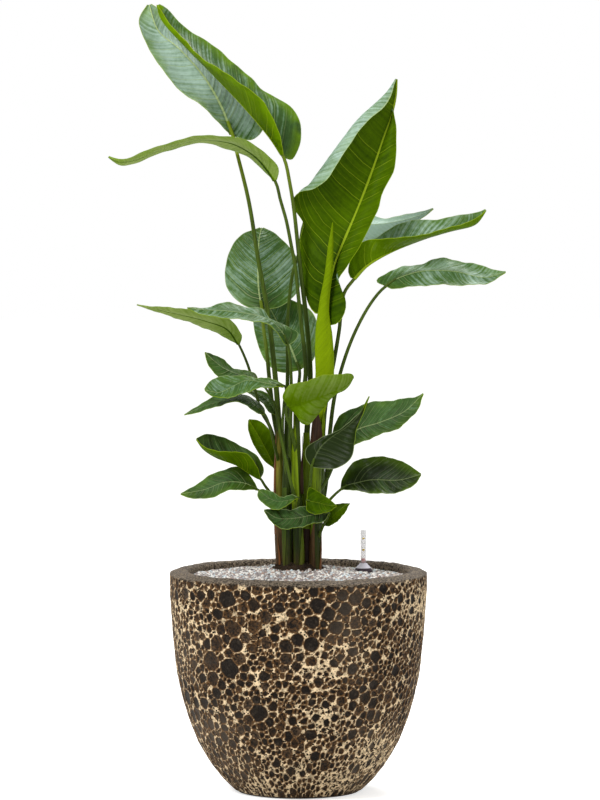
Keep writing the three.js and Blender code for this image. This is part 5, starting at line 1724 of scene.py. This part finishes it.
def soil_mound(s, soil):
    """The low mound of soil about the shoots, with its crumbs."""
    draws = np.random.default_rng(s.seed + 5)
    around, along = MOUND_GRID
    piece, column, row = flat_grid("soil_mound", around, along)
    turn = 2 * math.pi * (column % around) / around
    radius = (MOUND_RADIUS + 1.5) * (1 - row / along) + 0.01
    dome = np.interp(radius, *MOUND_RISE)
    rough = [crumple(Vector((r * math.cos(t) * 0.14, r * math.sin(t) * 0.14, 4.0)), 0.6)
             for r, t in zip(radius, turn)]
    places = np.stack([radius * np.cos(turn), radius * np.sin(turn),
                       dome + 1.6 * np.array(rough) + 0.3], axis=1)
    place_corners(piece, places * MM)
    close_seam(piece, 3e-5)
    smooth(piece, 60)
    piece.data.materials.append(soil)
    away = (MOUND_RADIUS + 5) * np.sqrt(draws.random(s.crumbs))
    turns = draws.random(s.crumbs) * 2 * math.pi
    sizes = 0.9 + 2.2 * draws.random(s.crumbs) ** 2
    level = np.interp(away, *MOUND_RISE) + 0.4
    spots = np.stack([away * np.cos(turns), away * np.sin(turns), level], axis=1)
    crumbs = pebbles("soil_crumbs", spots, sizes, 0.5, s.seed + 6)
    crumbs.data.materials.append(soil)
    settle(fuse("soil_mound", [piece, crumbs]))


# ---- operators --------------------------------------------------------------
class BOP_OT_pot(bpy.types.Operator):
    """Makes the glazed pot over its CAD node"""
    bl_idname = "bop.pot"
    bl_label = "Make Pot"
    bl_options = {"REGISTER", "UNDO"}

    def execute(self, context):
        pot_piece()
        return {"FINISHED"}


class BOP_OT_fill(bpy.types.Operator):
    """Lays the gravel and soil, and finishes the hidden fill"""
    bl_idname = "bop.fill"
    bl_label = "Make Gravel and Soil"
    bl_options = {"REGISTER", "UNDO"}

    def execute(self, context):
        s = context.scene.bop_fill
        gravel, soil = gravel_finish(), soil_finish()
        gravel_stones(s, gravel)
        soil_mound(s, soil)
        dress("gravel", gravel)
        dress("root_ball", soil)
        dress("substrate", soil_finish("fill soil", 1.4))
        dress("drainage_layer", clay_finish())
        return {"FINISHED"}


class BOP_OT_gauge(bpy.types.Operator):
    """Makes the water gauge: tube, marks, bell and float"""
    bl_idname = "bop.gauge"
    bl_label = "Make Water Gauge"
    bl_options = {"REGISTER", "UNDO"}

    def execute(self, context):
        s = context.scene.bop_gauge
        dark = gauge_plastic("dark plastic", s.dark, 0.3)
        gauge_pipe(s)
        gauge_ticks(s)
        gauge_bell(s, dark)
        gauge_float(s)
        dress("gauge_sleeve", dark)
        return {"FINISHED"}


class BOP_OT_shoots(bpy.types.Operator):
    """Makes the eight shoots with their sheaths"""
    bl_idname = "bop.shoots"
    bl_label = "Make Shoots"
    bl_options = {"REGISTER", "UNDO"}

    def execute(self, context):
        finishes = plant_finishes()
        for key, shoot in SHOOTS.items():
            shoot_piece(key, shoot, finishes)
        return {"FINISHED"}


class BOP_OT_leaves(bpy.types.Operator):
    """Makes the twenty-seven leaves"""
    bl_idname = "bop.leaves"
    bl_label = "Make Leaves"
    bl_options = {"REGISTER", "UNDO"}

    def execute(self, context):
        finishes = plant_finishes()
        for name, plan in LEAVES.items():
            grown_leaf(name, plan, finishes)
        rolled_leaf(finishes)
        return {"FINISHED"}


# Soft lights: name, place, width, and power as a share of the key light's.
LIGHTS = (("key_light", (-2.4, -2.6, 3.6), 1.6, 1.0),
          ("fill_light", (3.4, -3.0, 1.6), 3.0, 0.22),
          ("top_light", (0.9, 1.9, 3.9), 1.6, 0.6))
CAMERA_ASIDE = 0.0028
FLOOR_SIZE = 40
FLOOR_DROP = 0.0005  # keeps the floor clear of the pot's base
FLOOR_GLOW = 0.62  # the camera sees the floor this much brighter
AIM_HEIGHT = 0.6


class BOP_OT_stage(bpy.types.Operator):
    """Sets the camera, the soft lights and the plain floor"""
    bl_idname = "bop.stage"
    bl_label = "Set Stage"
    bl_options = {"REGISTER", "UNDO"}

    def execute(self, context):
        s = context.scene.bop_studio
        clear_hands()
        self.set_camera(context, s)
        self.lay_floor(context, s)
        self.hang_lights(context, s)
        self.light_world(context, s)
        return {"FINISHED"}

    def set_camera(self, context, s):
        """The camera stands far off and looks down a little, as the photographer did."""
        bpy.ops.object.camera_add(location=(CAMERA_ASIDE, -s.distance, s.height),
                                  rotation=(math.pi / 2 - s.pitch, 0, 0))
        camera = context.object
        camera.name = "studio_camera"
        camera.data.lens = s.lens
        camera.data.sensor_width = 36
        camera.data.dof.use_dof = False
        camera.data.clip_end = 100
        context.scene.camera = camera

    def lay_floor(self, context, s):
        """A plain pale floor that the camera sees nearly white."""
        bpy.ops.mesh.primitive_plane_add(size=FLOOR_SIZE, location=(0, 0, -FLOOR_DROP))
        floor = context.object
        floor.name = "studio_floor"
        material, wires, shader = finish("studio floor", Roughness=0.9)
        haze = wires.times(wires.cloud(wires.place(), 3.0), 0.04)
        tint = wires.blend(haze, shade(s.floor), shade(s.floor, 0.9))
        wires.feed(shader.inputs["Base Color"], tint)
        seen = wires.put("ShaderNodeLightPath").outputs["Is Camera Ray"]
        shader.inputs["Emission Color"].default_value = (1, 1, 1, 1)
        wires.feed(shader.inputs["Emission Strength"], wires.times(seen, FLOOR_GLOW))
        floor.data.materials.append(material)

    def hang_lights(self, context, s):
        """Round soft lights, all aimed at the middle of the plant."""
        for name, place, size, share in LIGHTS:
            bpy.ops.object.light_add(type="AREA", location=place)
            lamp = context.object
            lamp.name = name
            lamp.data.shape = "DISK"
            lamp.data.size = size
            lamp.data.energy = s.key * share
            aim = Vector((0, 0, AIM_HEIGHT)) - Vector(place)
            lamp.rotation_euler = aim.to_track_quat("-Z", "Y").to_euler()

    def light_world(self, context, s):
        """Even light all round, which the camera sees as plain white."""
        context.scene.view_settings.view_transform = "Standard"
        world = context.scene.world or bpy.data.worlds.new("studio")
        context.scene.world = world
        world.use_nodes = True
        wires = Wires(world.node_tree)
        backdrop = world.node_tree.nodes["Background"]
        backdrop.inputs["Color"].default_value = (1, 1, 1, 1)
        seen = wires.put("ShaderNodeLightPath").outputs["Is Camera Ray"]
        wires.feed(backdrop.inputs["Strength"], wires.times_plus(seen, 1.0 - s.fill, s.fill))


class BOP_PT_panel(bpy.types.Panel):
    """Sizes, colours and steps of the potted plant"""
    bl_idname = "BOP_PT_panel"
    bl_label = "Potted Bird of Paradise"
    bl_space_type = "VIEW_3D"
    bl_region_type = "UI"
    bl_category = "Houseplant"

    def draw(self, context):
        for step in STEPS:
            self.layout.operator(step.bl_idname)
        for name, kind in SETTINGS.items():
            box = self.layout.box()
            box.label(text=kind.__doc__)
            for key in kind.__annotations__:
                box.prop(getattr(context.scene, name), key)


STEPS = (BOP_OT_stage, BOP_OT_pot, BOP_OT_fill, BOP_OT_gauge, BOP_OT_shoots, BOP_OT_leaves)


def register():
    """Adds the settings, the steps and the panel."""
    for kind in (*SETTINGS.values(), *STEPS, BOP_PT_panel):
        bpy.utils.register_class(kind)
    for name, kind in SETTINGS.items():
        setattr(bpy.types.Scene, name, PointerProperty(type=kind))


def unregister():
    """Takes away what register added."""
    for name in SETTINGS:
        delattr(bpy.types.Scene, name)
    for kind in reversed((*SETTINGS.values(), *STEPS, BOP_PT_panel)):
        bpy.utils.unregister_class(kind)


def main():
    """Makes the whole model."""
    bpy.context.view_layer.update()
    register()
    bpy.ops.bop.stage()
    bpy.ops.bop.pot()
    bpy.ops.bop.fill()
    bpy.ops.bop.gauge()
    bpy.ops.bop.shoots()
    bpy.ops.bop.leaves()
    clear_hands()


if __name__ == "__main__":
    main()
